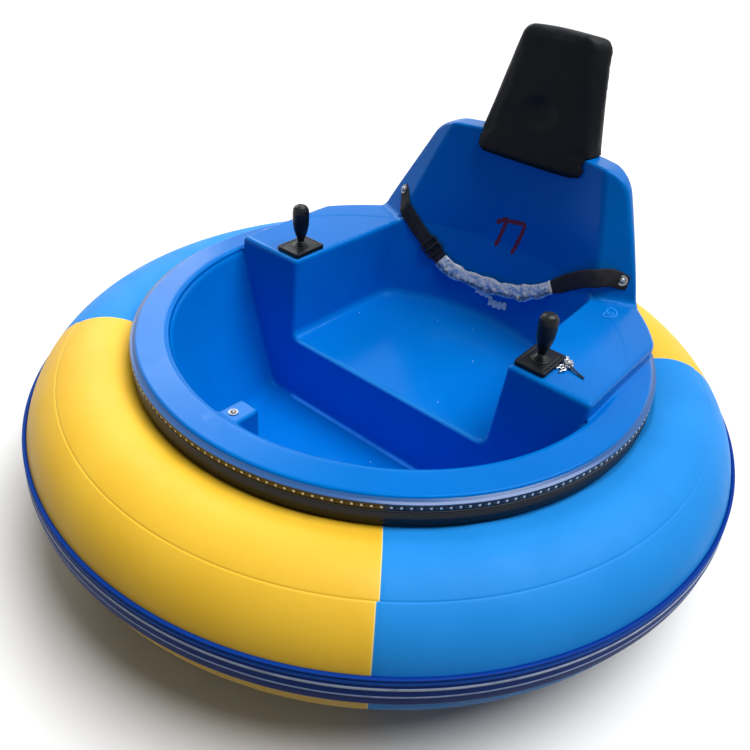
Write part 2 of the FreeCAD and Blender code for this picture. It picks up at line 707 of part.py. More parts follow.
# ------------------------------------------------------------------ the whole car
shapes = {"body_shell": body_shell(), "boss_bolt": boss_bolt()}
for index, panel in enumerate(PANELS):
    shapes[f"ring_{panel}"] = ring_panel(index)
shapes["fender_band"] = fender_band()
shapes["rim_gasket"] = rim_gasket()
shapes["led_channel"] = led_channel()
shapes["led_strip"] = led_strip()
shapes["headrest_pad"] = headrest_pad()
shapes["headrest_board"] = headrest_board()
for name, side in SIDES:
    shapes[f"joystick_base_{name}"] = joystick_base(side)
    shapes[f"joystick_handle_{name}"] = joystick_handle(side)
    shapes[f"battery_{name}"] = battery(side)
shapes["key_switch"] = key_switch()
shapes["key_ring"] = key_ring()
shapes["belt_strap_right"] = belt(STRAP_RIGHT, belt_width / 2, belt_wall)
shapes["belt_adjuster"] = belt(ADJUSTER, adjuster_width / 2, adjuster_wall)
shapes["belt_buckle"] = belt(BUCKLE, buckle_width / 2, buckle_wall)
shapes["belt_strap_left"] = belt(STRAP_LEFT, belt_width / 2, belt_wall)
shapes["belt_anchor_right"] = belt_anchor(*ANCHOR_RIGHT)
shapes["belt_anchor_left"] = belt_anchor(*ANCHOR_LEFT)
shapes["chassis_frame"] = chassis_frame()
shapes["chassis_hoop"] = chassis_hoop()
for stem, make in (("wheel_bracket", wheel_bracket), ("drive_motor", drive_motor),
                   ("drive_axle", drive_axle), ("drive_hub", drive_hub), ("drive_tyre", drive_tyre)):
    shapes[f"{stem}_left"] = make()
    shapes[f"{stem}_right"] = mirrored(make())
for name, y in CASTERS:
    shapes[f"caster_plate_{name}"] = caster_plate(y)
    shapes[f"caster_fork_{name}"] = caster_fork(y)
    shapes[f"caster_wheel_{name}"] = caster_wheel(y)

os.makedirs("parts", exist_ok=True)
for name, shape in shapes.items():
    shape.exportStep(f"parts/{name}.step")
    print(name, shape.isValid(), len(shape.Solids), round(shape.Volume / 1e6, 4), "litres")
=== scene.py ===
import math

import bpy
import numpy as np
from mathutils import Matrix, Vector


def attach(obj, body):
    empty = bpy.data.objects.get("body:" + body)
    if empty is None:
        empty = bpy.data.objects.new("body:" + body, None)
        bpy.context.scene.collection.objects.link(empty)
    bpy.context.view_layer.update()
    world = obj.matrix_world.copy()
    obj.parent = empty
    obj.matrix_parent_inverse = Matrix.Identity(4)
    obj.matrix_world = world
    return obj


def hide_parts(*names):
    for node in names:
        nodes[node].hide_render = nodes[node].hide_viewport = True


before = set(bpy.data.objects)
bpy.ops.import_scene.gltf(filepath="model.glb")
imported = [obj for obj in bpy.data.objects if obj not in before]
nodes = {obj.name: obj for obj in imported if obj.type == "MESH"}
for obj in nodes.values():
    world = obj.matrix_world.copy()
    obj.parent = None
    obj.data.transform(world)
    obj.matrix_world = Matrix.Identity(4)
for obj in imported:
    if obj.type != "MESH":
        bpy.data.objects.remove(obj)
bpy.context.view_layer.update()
scene = bpy.context.scene


def toLinear(channel):
    # one sRGB channel, 0 to 1, as linear light
    return channel / 12.92 if channel <= 0.04045 else ((channel + 0.055) / 1.055) ** 2.4


def hexColor(text):
    # red, green and blue of a written colour as linear light, with full cover
    parts = [int(text[i:i + 2], 16) / 255 for i in (1, 3, 5)]
    return tuple(toLinear(p) for p in parts) + (1.0,)


def outward(verts, faces):
    # the volume inside is summed over the fan of each face; below zero every face is turned round
    volume = 0.0
    for group in faces:
        first = verts[group[:, 0]]
        for k in range(1, group.shape[1] - 1):
            volume += np.sum(first * np.cross(verts[group[:, k]], verts[group[:, k + 1]]))
    return [group[:, ::-1] for group in faces] if volume < 0 else faces


def meshPiece(name, verts, faces, smooth=True, normals=None, uvs=None):
    # one mesh from whole arrays in metres; each array of faces has one row of vertex numbers a face
    mesh = bpy.data.meshes.new(name)
    verts = np.asarray(verts, np.float32)
    flat = [np.asarray(f, np.int32) for f in faces if len(f)]
    if normals is None:
        flat = outward(verts - verts.mean(0), flat)
    loops = np.concatenate([f.ravel() for f in flat])
    totals = np.concatenate([np.full(len(f), f.shape[1], np.int32) for f in flat])
    mesh.vertices.add(len(verts))
    mesh.vertices.foreach_set("co", verts.ravel())
    mesh.loops.add(len(loops))
    mesh.loops.foreach_set("vertex_index", loops)
    mesh.polygons.add(len(totals))
    mesh.polygons.foreach_set("loop_start", np.concatenate([[0], np.cumsum(totals)[:-1]]))
    mesh.update(calc_edges=True)
    if uvs is not None:
        layer = mesh.uv_layers.new(name="UVMap")
        layer.data.foreach_set("uv", np.asarray(uvs, np.float32)[loops].ravel())
    mesh.polygons.foreach_set("use_smooth", np.full(len(totals), smooth))
    if normals is not None:
        mesh.normals_split_custom_set_from_vertices(normals.astype(np.float32).tolist())
    mesh.validate()
    piece = bpy.data.objects.new(name, mesh)
    scene.collection.objects.link(piece)
    return piece


def gridFaces(rows, cols, closeRows):
    # a face between each point of a grid and its next ones; the columns close, the rows if asked
    i = np.arange(rows if closeRows else rows - 1)[:, None]
    j = np.arange(cols)[None, :]
    i2, j2 = (i + 1) % rows, (j + 1) % cols
    return np.stack([i * cols + j, i * cols + j2, i2 * cols + j2, i2 * cols + j], -1).reshape(-1, 4)


def tubeFaces(rows, cols):
    # faces of a tube: the grid's columns close, and its first and last rows each get a cap
    cap = np.arange(cols)[None]
    return [gridFaces(rows, cols, False), cap[:, ::-1], cap + (rows - 1) * cols]


def perMetre(millimetres):
    # a pattern's scale from the real size of one of its cells
    return 1000.0 / millimetres


def plug(node, **given):
    # Names in small letters are settings of the node. The others are its inputs, by name or by number
    # as in _0, and take a value or another node's output.
    for key, value in given.items():
        if key[0].islower():
            setattr(node, key, value)
            continue
        socket = node.inputs[int(key[1:]) if key[0] == "_" else key.replace("_", " ")]
        if isinstance(value, bpy.types.NodeSocket):
            node.id_data.links.new(value, socket)
        else:
            socket.default_value = value
    return node


def addNode(tree, kind, out=0, **given):
    # one node with its settings and links; the output with the name or number in out comes back
    return plug(tree.nodes.new("ShaderNode" + kind), **given).outputs[out]


def newMaterial(name):
    # a material with one shader on its surface
    material = bpy.data.materials.new(name)
    material.use_nodes = True
    tree = material.node_tree
    tree.nodes.clear()
    shader = tree.nodes.new("ShaderNodeBsdfPrincipled")
    plug(tree.nodes.new("ShaderNodeOutputMaterial"), Surface=shader.outputs["BSDF"])
    return material, tree, shader


# Body moulding: one skin under a single top surface. The top surface is where a distance-like
# value is zero: the rim plate, the armrests and the backrest are joined, and the bowl, the seat and
# the space before the backrest are taken away, every join being a rounded one. Millimetres.
tub = {
    "axisY": 20.0, "skin": 8.0,
    # rim, its return wall and the box with the bolt in the mouth
    "rimZ": 502.0, "rimSlope": 0.045, "rimFall": 90.0, "rimR": 681.0, "beadR": 7.0,
    "returnR": 672.0, "returnFoot": 466.0, "innerRimR": 640.0, "returnRound": 2.0,
    "bossX": 6.5, "bossHalf": 30.0, "bossY": -511.0, "bossZ": 498.0, "bossRounds": (9.0, 5.0, 4.0),
    # bowl
    "mouthR": 593.0, "mouthDrop": 6.0, "mouthRound": 17.0, "floorR": 428.0, "floorZ": 94.0,
    "floorFillet": 26.0, "wallCurveR": 2215.0,
    # seat and armrests; a half width is given at its front end with what it loses to its rear end
    "frontY": -51.0, "frontSlope": 0.0976, "frontRound": 12.0, "seatZ": 294.0, "seatFillet": 22.0,
    "seatFromY": -67.0, "seatRun": 526.0, "seatHalf": (354.0, 8.0), "gapHalf": (367.0, 18.0),
    "armZ": 540.0, "armHalf": 593.0, "edgeRound": 12.0, "overGap": 6.0, "overRound": 2.0,
    # backrest: its round inner face by height, its leaning wings and its crest
    "faceZ": (294.0, 540.0, 862.0), "faceR": (578.0, 643.0, 692.0), "faceY": -75.0,
    "leanZ": (500.0, 580.0), "leanCos": (0.967, 0.989), "drumInset": 9.0, "drumRound": 12.0,
    "wingX": 350.0, "wingY": 459.0, "wingSide": 0.452, "wingRise": 0.467, "wingRound": 8.0,
    "wingFillet": 15.0, "crestHalf": 470.0, "crestSlope": 0.4915, "crestRound": 55.0, "backZ": 862.0,
    # where the rear part meets the round one, and the heights over which its roundings change
    "cornerFillet": 13.0, "flangeFillet": 7.0, "roundZ": (560.0, 640.0), "filletZ": (440.0, 490.0),
    # cells of the mesh: steps round the axis, then (from, to, step) of the rings and heights
    "angleSteps": 272, "netSteps": 5, "footBelow": 480.0, "footBeyond": 400.0,
    "ringSpans": ((0.0, 566.0, 9.5), (572.0, 634.0, 6.0), (641.0, 660.0, 8.0), (663.0, 700.0, 3.6)),
    "lowSpans": ((76.0, 136.0, 7.5), (143.0, 456.0, 9.5)), "highSpan": (556.0, 880.0, 9.5),
    "rimHeights": (466.0, 470.0, 475.5, 481.0, 485.5, 489.0, 492.5, 496.0, 499.5, 503.0, 507.0, 512.0,
                   519.0, 526.0, 533.0, 540.0, 547.0),
}


def roundBoth(a, b, radius):
    # both a and b: outside corner turned to a radius
    outer = np.hypot(np.maximum(a + radius, 0), np.maximum(b + radius, 0))
    return np.minimum(np.maximum(a, b), -radius) + outer


def roundEither(a, b, radius):
    # either a or b: inside corner filled to a radius
    return -roundBoth(-a, -b, radius)


def tubValue(p):
    # below zero inside the material's top surface, above zero over it, nearly in millimetres
    t = tub
    x, y, z = p[..., 0], p[..., 1], p[..., 2]
    side = np.abs(x)
    r = np.hypot(x, y - t["axisY"])
    rimMid = t["rimZ"] - t["beadR"] - t["rimSlope"] * np.clip(r - t["mouthR"], 0, t["rimFall"])
    plate = np.hypot(np.maximum(r - t["rimR"] + t["beadR"], 0), z - rimMid) - t["beadR"]
    rim = roundEither(plate, np.maximum(r - t["returnR"], z - rimMid), t["returnRound"])
    # bowl: its wall is an arc through its foot and its mouth
    mouthLow = t["rimZ"] - t["mouthDrop"]
    chord = np.array([t["mouthR"] - t["floorR"], mouthLow - t["floorZ"]])
    half = np.hypot(*chord) / 2
    deep = math.sqrt(t["wallCurveR"] ** 2 - half ** 2)
    across = np.array([-chord[1], chord[0]]) / (2 * half)
    centre = np.array([t["floorR"], t["floorZ"]]) + chord / 2 + across * deep
    bowlWall = np.hypot(r - centre[0], z - centre[1]) - t["wallCurveR"]
    bowl = roundBoth(bowlWall, t["floorZ"] - z, t["floorFillet"])
    bowlPart = roundBoth(rim, -bowl, t["mouthRound"])
    sideRound, topRound, footRound = t["bossRounds"]
    boss = roundBoth(np.abs(x - t["bossX"]) - t["bossHalf"], y - t["bossY"], sideRound)
    boss = roundBoth(boss, z - t["bossZ"], topRound)
    bowlPart = roundEither(bowlPart, np.maximum(boss, r - t["innerRimR"]), footRound)
    # rear part: armrests and backrest, less the space over the seat, cut off at the front plane
    drum = r - np.where(z > rimMid, t["rimR"], t["returnR"] - t["drumInset"])
    rise = z - t["armZ"]
    arms = roundBoth(roundBoth(side - t["armHalf"], rise, t["edgeRound"]), drum, t["drumRound"])
    slope = t["crestSlope"]
    crestSide = (side - t["crestHalf"] + slope * rise) / math.hypot(1, slope)
    crest = roundBoth(crestSide, z - t["backZ"], t["crestRound"])
    wing = (side - t["wingX"]) * t["wingSide"] - (y - t["wingY"]) + rise * t["wingRise"]
    wing = wing / math.sqrt(t["wingSide"] ** 2 + 1 + t["wingRise"] ** 2)
    back = roundBoth(roundBoth(drum, crest, t["drumRound"]), wing, t["wingRound"])
    raised = roundEither(arms, back, t["wingFillet"])
    along = np.clip((y - t["seatFromY"]) / t["seatRun"], 0, 1)
    up = np.clip((z - t["seatZ"]) / (t["armZ"] - t["seatZ"]), 0, 1)
    (seatHalf, seatLoss), (gapHalf, gapLoss) = t["seatHalf"], t["gapHalf"]
    halfWidth = (seatHalf - seatLoss * along) * (1 - up) + (gapHalf - gapLoss * along) * up
    radius = np.interp(z, t["faceZ"], t["faceR"])
    trough = (np.hypot(x, y - t["faceY"]) - radius) * np.interp(z, t["leanZ"], t["leanCos"])
    seat = roundBoth(roundBoth(side - halfWidth, trough, t["seatFillet"]), t["seatZ"] - z, t["seatFillet"])
    over = roundBoth(trough, t["armZ"] + t["overGap"] - z, t["overRound"])
    air = np.minimum(seat, over)
    front = (t["frontY"] + t["frontSlope"] * (z - t["floorZ"]) - y) / math.hypot(1, t["frontSlope"])
    rear = roundBoth(raised, -air, np.interp(z, t["roundZ"], [t["edgeRound"], t["wingRound"]]))
    rear = roundBoth(rear, front, t["frontRound"])
    return roundEither(bowlPart, rear, np.interp(z, t["filletZ"], [t["cornerFillet"], t["flangeFillet"]]))


def gradient(values, p):
    # slope of the value along x, y and z, from its change over a short step each way
    step = 0.4
    slope = np.stack([values(p + np.eye(3)[a] * step) - values(p - np.eye(3)[a] * step)
                      for a in range(3)], -1) / (2 * step)
    size = np.linalg.norm(slope, axis=-1, keepdims=True)
    return slope, np.maximum(size, 1e-6)


def surfaceNet(rings, angles, heights, values, axisY):
    # one vertex in each cell of a round grid that the surface passes through, at the mean of the
    # points where it crosses the cell's edges, and one face over each grid edge that it crosses
    turn = np.radians(np.arange(angles) * 360.0 / angles)
    gridPoints = np.stack(np.broadcast_arrays(rings[:, None, None] * np.sin(turn)[None, :, None],
                                              axisY - rings[:, None, None] * np.cos(turn)[None, :, None],
                                              heights[None, None, :]), -1)
    value = values(gridPoints)
    ringCount, turnCount, heightCount = value.shape
    inside = value < 0
    i, j, k = np.meshgrid(np.arange(ringCount - 1), np.arange(turnCount), np.arange(heightCount - 1),
                          indexing="ij")
    total = np.zeros(i.shape + (3,))
    count = np.zeros(i.shape)
    corners = [(a, b, c) for a in (0, 1) for b in (0, 1) for c in (0, 1)]
    for a, b, c in corners:
        for axis in range(3):
            if (a, b, c)[axis]:
                continue
            far = [a, b, c]
            far[axis] = 1
            start = (i + a, (j + b) % turnCount, k + c)
            end = (i + far[0], (j + far[1]) % turnCount, k + far[2])
            cross = inside[start] != inside[end]
            startValue, endValue = value[start], value[end]
            share = np.where(cross, startValue / np.where(cross, startValue - endValue, 1), 0)[..., None]
            between = gridPoints[start] * (1 - share) + gridPoints[end] * share
            total += np.where(cross[..., None], between, 0)
            count += cross
    used = count > 0
    index = np.full(i.shape, -1)
    index[used] = np.arange(used.sum())
    points = total[used] / count[used][:, None]
    cells = np.stack([i[used], j[used], k[used]], -1)
    faces = []
    for axis in range(3):
        shift = [0, 0, 0]
        shift[axis] = 1
        a, b = [n for n in range(3) if n != axis]
        size = [ringCount, turnCount, heightCount]
        ranges = [np.arange(ringCount), np.arange(turnCount), np.arange(heightCount)]
        ranges[axis] = np.arange(turnCount) if axis == 1 else np.arange(size[axis] - 1)
        for other in (a, b):
            if other != 1:
                ranges[other] = np.arange(1, size[other] - 1)
        starts = np.meshgrid(*ranges, indexing="ij")
        ends = [starts[0] + shift[0], (starts[1] + shift[1]) % turnCount, starts[2] + shift[2]]
        low, high = inside[tuple(starts)], inside[tuple(ends)]
        hit = low != high
        starts = [n[hit] for n in starts]
        insideFirst = low[hit]
        quad = []
        for backA, backB in ((1, 1), (0, 1), (0, 0), (1, 0)):
            cell = list(starts)
            cell[a] = cell[a] - backA
            cell[b] = cell[b] - backB
            cell[1] = cell[1] % turnCount
            quad.append(index[tuple(cell)])
        quad = np.stack(quad, -1)
        turned = insideFirst if axis != 1 else ~insideFirst
        quad = np.where(turned[:, None], quad, quad[:, ::-1])
        faces.append(quad)
    return points, np.concatenate(faces), cells


def buildTub():
    # the top surface from the cells, drawn on to its zero value, and a copy of it one skin below
    t = tub
    rings = np.concatenate([np.arange(*span) for span in t["ringSpans"]])
    heights = np.concatenate([np.arange(*span) for span in t["lowSpans"]]
                             + [t["rimHeights"], np.arange(*t["highSpan"])])
    points, faces, cells = surfaceNet(rings, t["angleSteps"], heights, tubValue, t["axisY"])
    r = np.hypot(points[:, 0], points[:, 1] - t["axisY"])
    drop = (r > t["innerRimR"]) & (points[:, 2] < t["returnFoot"])
    faces = faces[~drop[faces].any(1)]
    used = np.unique(faces)
    renumber = np.full(len(points), -1)
    renumber[used] = np.arange(len(used))
    points, faces, cells = points[used], renumber[faces], cells[used]
    for _ in range(t["netSteps"]):
        slope, size = gradient(tubValue, points)
        move = -tubValue(points)[:, None] * slope / size ** 2
        points = points + np.clip(move, -4, 4)
    r = np.hypot(points[:, 0], points[:, 1] - t["axisY"])
    edge = (r > t["innerRimR"]) & (points[:, 2] < t["rimHeights"][1])
    points[edge, 2] = t["returnFoot"]
    slope, size = gradient(tubValue, points)
    normals = slope / np.linalg.norm(slope, axis=1, keepdims=True)
    # middle of the seat: the cells round the axis close in one fan
    core = np.where(cells[:, 0] == 0)[0]
    core = core[np.argsort(cells[core, 1])]
    hub = points[core].mean(0)
    hub[:2] = 0.0, t["axisY"]
    points = np.vstack([points, hub])
    normals = np.vstack([normals, [0, 0, 1.0]])
    fan = np.stack([core, np.roll(core, -1), np.full(len(core), len(points) - 1)], -1)
    count = len(points)
    inner = points - normals * t["skin"]
    # the edge under the return wall is where a face's side is seen once; it is closed to the copy
    pairs = np.concatenate([faces[:, [a, (a + 1) % 4]] for a in range(4)])
    key = np.sort(pairs, 1)
    key = key[:, 0] * count + key[:, 1]
    _, first, seen = np.unique(key, return_index=True, return_counts=True)
    edges = pairs[first[seen == 1]]
    reach = np.hypot(*points[edges[:, 0], :2].T)
    edges = edges[(points[edges, 2] < t["footBelow"]).all(1) & (reach > t["footBeyond"])]
    foot = np.stack([edges[:, 1], edges[:, 0], edges[:, 0] + count, edges[:, 1] + count], -1)
    allFaces = [np.concatenate([faces, faces[:, ::-1] + count, foot]),
                np.concatenate([fan, fan[:, ::-1] + count])]
    allNormals = np.vstack([normals, -normals])
    return meshPiece("tubMoulding", np.vstack([points, inner]) / 1000, allFaces, normals=allNormals)


madePieces = []


def dress(piece, slotName, *replaced):
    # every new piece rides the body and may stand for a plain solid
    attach(piece, "root")
    if replaced:
        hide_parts(*replaced)
    madePieces.append(piece)
    return piece


dress(buildTub(), "shell_blue", "body_shell")
print("tub", len(madePieces[0].data.vertices))


def turnedPiece(name, section, axisY, steps):
    # A closed section of (radius, height) points is carried round an upright axis. The first texture
    # coordinate is the length round the car and the second is the length along the section, in metres.
    section = np.asarray(section, float)
    angle = np.radians(np.arange(steps) * 360.0 / steps)[:, None]
    r, z = section[None, :, 0], section[None, :, 1]
    verts = np.stack(np.broadcast_arrays(r * np.cos(angle), axisY + r * np.sin(angle), z), -1)
    along = np.concatenate([[0], np.cumsum(np.hypot(*np.diff(section, axis=0).T))])
    uvs = np.stack(np.broadcast_arrays(angle * section[:, 0].max(), along[None, :]), -1) / 1000
    return meshPiece(name, verts.reshape(-1, 3) / 1000, [gridFaces(steps, len(section), True)],
                     uvs=uvs.reshape(-1, 2))


def roundedSection(corners):
    # corners of (radius, height, rounding); each becomes five points on the arc that touches both sides
    points = []
    corners = np.asarray(corners, float)
    count = len(corners)
    for n in range(count):
        here, before, after = corners[n, :2], corners[n - 1, :2], corners[(n + 1) % count, :2]
        size = corners[n, 2]
        if size == 0:
            points.append(here)
            continue
        u, v = before - here, after - here
        u, v = u / np.linalg.norm(u), v / np.linalg.norm(v)
        half = math.acos(np.clip(u @ v, -1, 1)) / 2
        reach = size / math.tan(half)
        middle = (u + v) / np.linalg.norm(u + v)
        centre = here + middle * size / math.sin(half)
        start, end = here + u * reach - centre, here + v * reach - centre
        for share in np.linspace(0, 1, 5):
            spoke = start * (1 - share) + end * share
            points.append(centre + spoke / np.linalg.norm(spoke) * size)
    return np.array(points)


# Inflatable ring: each quarter is a tube section swept through 90 degrees. The section bulges
# between its two lengthwise welds, is pressed flat under the rubber, and steps sideways where a weld
# meets the joint. Angles in degrees, the section's from outwards and up.
ring = {
    "tubeR": 183.0, "midR": 762.0, "midZ": 262.0, "firstJoint": -51.5, "jog": 6.0,
    "turnStep": 2.5, "weldFine": (-1.6, -0.9, -0.5, -0.2, 0, 0.2, 0.5, 0.9, 1.6),
    "jointFine": (0, 0.06, 0.14, 0.25, 0.45, 0.7),
    "weldAngles": (59.0, 238.0), "weldDepth": 1.0, "weldWidth": 1.8, "weldBulge": 1.7, "bulgeAngle": 22.0,
    "jointPinch": 0.7, "pinchWidth": 7.0, "jointR": 900.0,
    "puckerDepth": 0.8, "puckerAngle": 118.0, "puckerWidth": 14.0, "puckerWaves": (46.0, 17.0),
    "puckerShift": 1.3,
    "rubberR": 693.6, "rubberFoot": 419.4, "pressSlope": 4.0, "pressFrom": 30, "pressTo": 150,
}


def ringPanel(name, index):
    # radius of the tube less a narrow dip at each weld, a wide one beside it, a pinch at both joints
    # and faint puckers; its inner shoulder is cut down to the rubber's foot
    t = ring
    turn = np.concatenate([np.arange(0, 360, t["turnStep"])]
                          + [w + np.array(t["weldFine"]) for w in t["weldAngles"]])
    turn = np.unique(np.round(turn, 2))
    fine = np.array(t["jointFine"])
    near = np.concatenate([fine, np.arange(1, 89.5), 90 - fine[::-1]])
    theta, share = np.meshgrid(turn, near)
    lower = (theta < t["weldAngles"][0]) | (theta > t["weldAngles"][1])
    jog = np.where(lower, -t["jog"], 0.0) / (t["midR"] + t["tubeR"] * np.cos(np.radians(theta)))
    phi = np.radians(t["firstJoint"] - 90.0 * (index + 1) + share) + jog
    arc = t["tubeR"] * np.radians(1.0)
    tube = np.full(theta.shape, t["tubeR"])
    for weld in t["weldAngles"]:
        off = np.abs(theta - weld)
        tube -= t["weldDepth"] * np.exp(-(off * arc / t["weldWidth"]) ** 2)
        tube -= t["weldBulge"] * np.exp(-off / t["bulgeAngle"])
    toJoint = np.radians(np.minimum(share, 90.0 - share)) * t["jointR"]
    tube -= t["jointPinch"] * np.exp(-(toJoint / t["pinchWidth"]) ** 2)
    fineWave, longWave = t["puckerWaves"]
    wave = np.sin(np.radians(share) * fineWave + t["puckerShift"] * index)
    wave = wave * np.sin(np.radians(share) * longWave + index)
    tube -= t["puckerDepth"] * wave * np.exp(-((theta - t["puckerAngle"]) / t["puckerWidth"]) ** 2)
    r = t["midR"] + tube * np.cos(np.radians(theta))
    z = t["midZ"] + tube * np.sin(np.radians(theta))
    x, y = r * np.cos(phi), r * np.sin(phi)
    inward = np.hypot(x, y - tub["axisY"]) - t["rubberR"]
    limit = t["rubberFoot"] + np.where(inward < 0, 0.0, inward * t["pressSlope"])
    z = np.where((theta < t["pressTo"]) & (theta > t["pressFrom"]), np.minimum(z, limit), z)
    verts = np.stack([x, y, z], -1) / 1000
    uvs = np.stack([toJoint / 1000, theta / 360.0], -1)
    return meshPiece(name, verts.reshape(-1, 3), tubeFaces(*theta.shape), uvs=uvs.reshape(-1, 2))


for index, quarter in enumerate(("front", "right", "rear", "left")):
    slotName = "ring_yellow" if index % 2 == 0 else "ring_blue"
    dress(ringPanel("tube" + quarter.capitalize(), index), slotName, "ring_" + quarter)
print("ring", index + 1)

# Fender band: a strip on the tube with a rolled top edge, a round bead and two raised lines. Each
# hump is (angle on the tube, rise, half width), the half width and the angles in degrees.
band = {
    "inner": 183.3, "wall": 5.0, "low": -8.0, "high": 15.5, "edgeDrop": 2.2, "edgeWidth": 0.7,
    "humps": ((14.8, 4.2, 1.3), (11.7, 2.2, 1.6), (7.1, 1.3, 1.5), (0.5, 1.1, 1.15)),
    "outerPoints": 96, "innerPoints": 10, "steps": 360,
}


def fenderBand():
    # height over the tube is the wall plus one low round hump for each line, falling off at both
    # edges; the second texture coordinate is the angle on the tube
    t = band
    outer = np.linspace(t["low"], t["high"], t["outerPoints"])
    height = np.full(outer.shape, t["wall"])
    for angle, rise, width in t["humps"]:
        height += rise * np.maximum(0, 1 - ((outer - angle) / width) ** 2) ** 0.7
    edge = np.minimum(outer - t["low"], t["high"] - outer)
    height -= t["edgeDrop"] * np.maximum(0, 1 - edge / t["edgeWidth"]) ** 2
    inner = np.linspace(t["high"], t["low"], t["innerPoints"])
    angle = np.radians(np.concatenate([outer, inner]))
    r = t["inner"] + np.concatenate([height, np.zeros(t["innerPoints"])])
    section = np.stack([ring["midR"] + r * np.cos(angle), ring["midZ"] + r * np.sin(angle)], -1)
    piece = turnedPiece("fenderBand", section, 0.0, t["steps"])
    uv = piece.data.uv_layers[0]
    flat = np.zeros(len(uv.data) * 2, np.float32)
    uv.data.foreach_get("uv", flat)
    loops = np.zeros(len(piece.data.loops), np.int32)
    piece.data.loops.foreach_get("vertex_index", loops)
    flat[1::2] = np.degrees(angle)[loops % len(section)]
    uv.data.foreach_set("uv", flat)
    return piece


dress(fenderBand(), "band_blue", "fender_band")

# Rubber roll, light channel and light strip under the rim: each is a turned section of corners
# (radius, height, rounding). Lamp parts are (place along the strip, width, height, depth, kind), where
# kind 0 is pale, near 1 is brown and 2 is black.
trim = {
    "steps": 480, "stripR": 689.6, "stripWall": 0.6, "ledPitch": 20.0, "ledZ": 477.6, "lampTaper": 0.2,
    "rubberRoll": ((652.0, 420.5, 0.0), (685.5, 420.5, 7.0), (691.0, 428.5, 3.0), (691.2, 433.5, 1.2),
                   (692.9, 437.0, 3.0), (692.9, 446.0, 12.0), (687.5, 458.0, 10.0), (678.0, 465.5, 4.0),
                   (652.0, 465.5, 0.0)),
    "lightChannel": ((672.6, 466.3, 0.0), (690.8, 466.3, 2.0), (693.0, 467.6, 1.0), (692.8, 469.4, 0.6),
                     (689.4, 470.0, 0.4), (689.4, 485.2, 0.4), (692.6, 485.6, 0.6), (692.4, 487.4, 0.8),
                     (686.0, 489.4, 3.0), (680.4, 493.4, 0.6), (674.0, 493.4, 0.0), (672.6, 487.4, 0.0)),
    "lightStrip": ((689.7, 470.4, 0.0), (691.4, 470.4, 1.2), (691.8, 477.8, 6.0), (691.4, 484.9, 1.2),
                   (689.7, 484.9, 0.0)),
    "lampParts": ((0.0, 6.2, 6.0, 2.4, 0), (6.6, 3.2, 5.4, 2.0, 2), (-6.4, 2.8, 4.2, 2.0, 1),
                  (10.0, 2.0, 6.0, 2.0, 0.8)),
}
for name, slotName, node in (("rubberRoll", "black_rubber", "rim_gasket"),
                             ("lightChannel", "led_channel", "led_channel"),
                             ("lightStrip", "led_strip", "led_strip")):
    dress(turnedPiece(name, roundedSection(trim[name]), tub["axisY"], trim["steps"]), slotName, node)


def ledChips():
    # Small square lamps at one pitch round the strip, with smaller parts between: each is a block
    # whose outer end is narrower than its foot, set at its angle on the strip.
    t = trim
    count = int(round(2 * math.pi * t["stripR"] / t["ledPitch"]))
    block = np.array([(depth, sy * (1 - t["lampTaper"] * depth), sz * (1 - t["lampTaper"] * depth))
                      for sy, sz in ((-1, -1), (1, -1), (1, 1), (-1, 1)) for depth in (0, 1)])
    quads = np.array([(1, 3, 5, 7), (0, 2, 3, 1), (2, 4, 5, 3), (4, 6, 7, 5), (6, 0, 1, 7), (0, 6, 4, 2)])
    verts, faces, kinds = [], [], []
    for shift, width, height, depth, kind in t["lampParts"]:
        angle = (np.arange(count) * t["ledPitch"] + shift) / (count * t["ledPitch"]) * 2 * math.pi
        out = np.stack([np.cos(angle), np.sin(angle), 0 * angle], -1)[:, None]
        side = np.stack([-np.sin(angle), np.cos(angle), 0 * angle], -1)[:, None]
        place = (out * (t["stripR"] + t["stripWall"] + depth * block[None, :, :1])
                 + side * block[None, :, 1:2] * width / 2
                 + np.array([0, 0, 1.0]) * (t["ledZ"] + block[None, :, 2:] * height / 2))
        place[..., 1] += tub["axisY"]
        start = 8 * count * len(verts)
        faces.append((quads[None] + np.arange(count)[:, None, None] * 8).reshape(-1, 4) + start)
        verts.append(place.reshape(-1, 3))
        kinds.append(np.full(count * 8, kind))
    kinds = np.concatenate(kinds)
    uvs = np.stack([kinds / 2.0, 0 * kinds], -1)
    verts, faces = np.concatenate(verts) / 1000, np.concatenate(faces)
    return meshPiece("lightChips", verts, [faces], smooth=False, uvs=uvs)


dress(ledChips(), "led_strip")
print("trim")


# Lap belt: straps follow points given as (x, rise over the armrests, stand-off). The backrest's face
# under them is the round surface or the leaning wing, whichever lies further back.
belt = {
    "wall": 2.4, "under": 0.6, "rows": 90, "cols": 13, "passes": 6, "crease": 30.0,
    "turnShare": 0.95, "turnBy": 8.0, "gatherRun": 0.07, "thinEdge": 0.5, "ripple": 0.35,
    "strapRight": {
        "width": 46.0, "curl": -1.5, "gathered": (0.4, 0.0), "facing": None,
        "points": ((-391, 88, 0), (-377, 74, 0), (-350, 43, 4), (-326, 10, 6), (-301, -19, 7),
                   (-268, -50, 7), (-238, -75, 7), (-216, -94, 7), (-200, -106, 6)),
    },
    "strapLeft": {
        "width": 52.0, "curl": -3.0, "gathered": (0.42, 0.3), "facing": (0.33, -0.84, 0.43),
        "points": ((200, -52, 8), (232, -30, 10), (268, -2, 14), (306, 27, 17), (338, 47, 18),
                   (360, 57, 15), (380, 60, 9), (398, 57, 3), (410, 55, 0), (424, 53, 0)),
    },
}


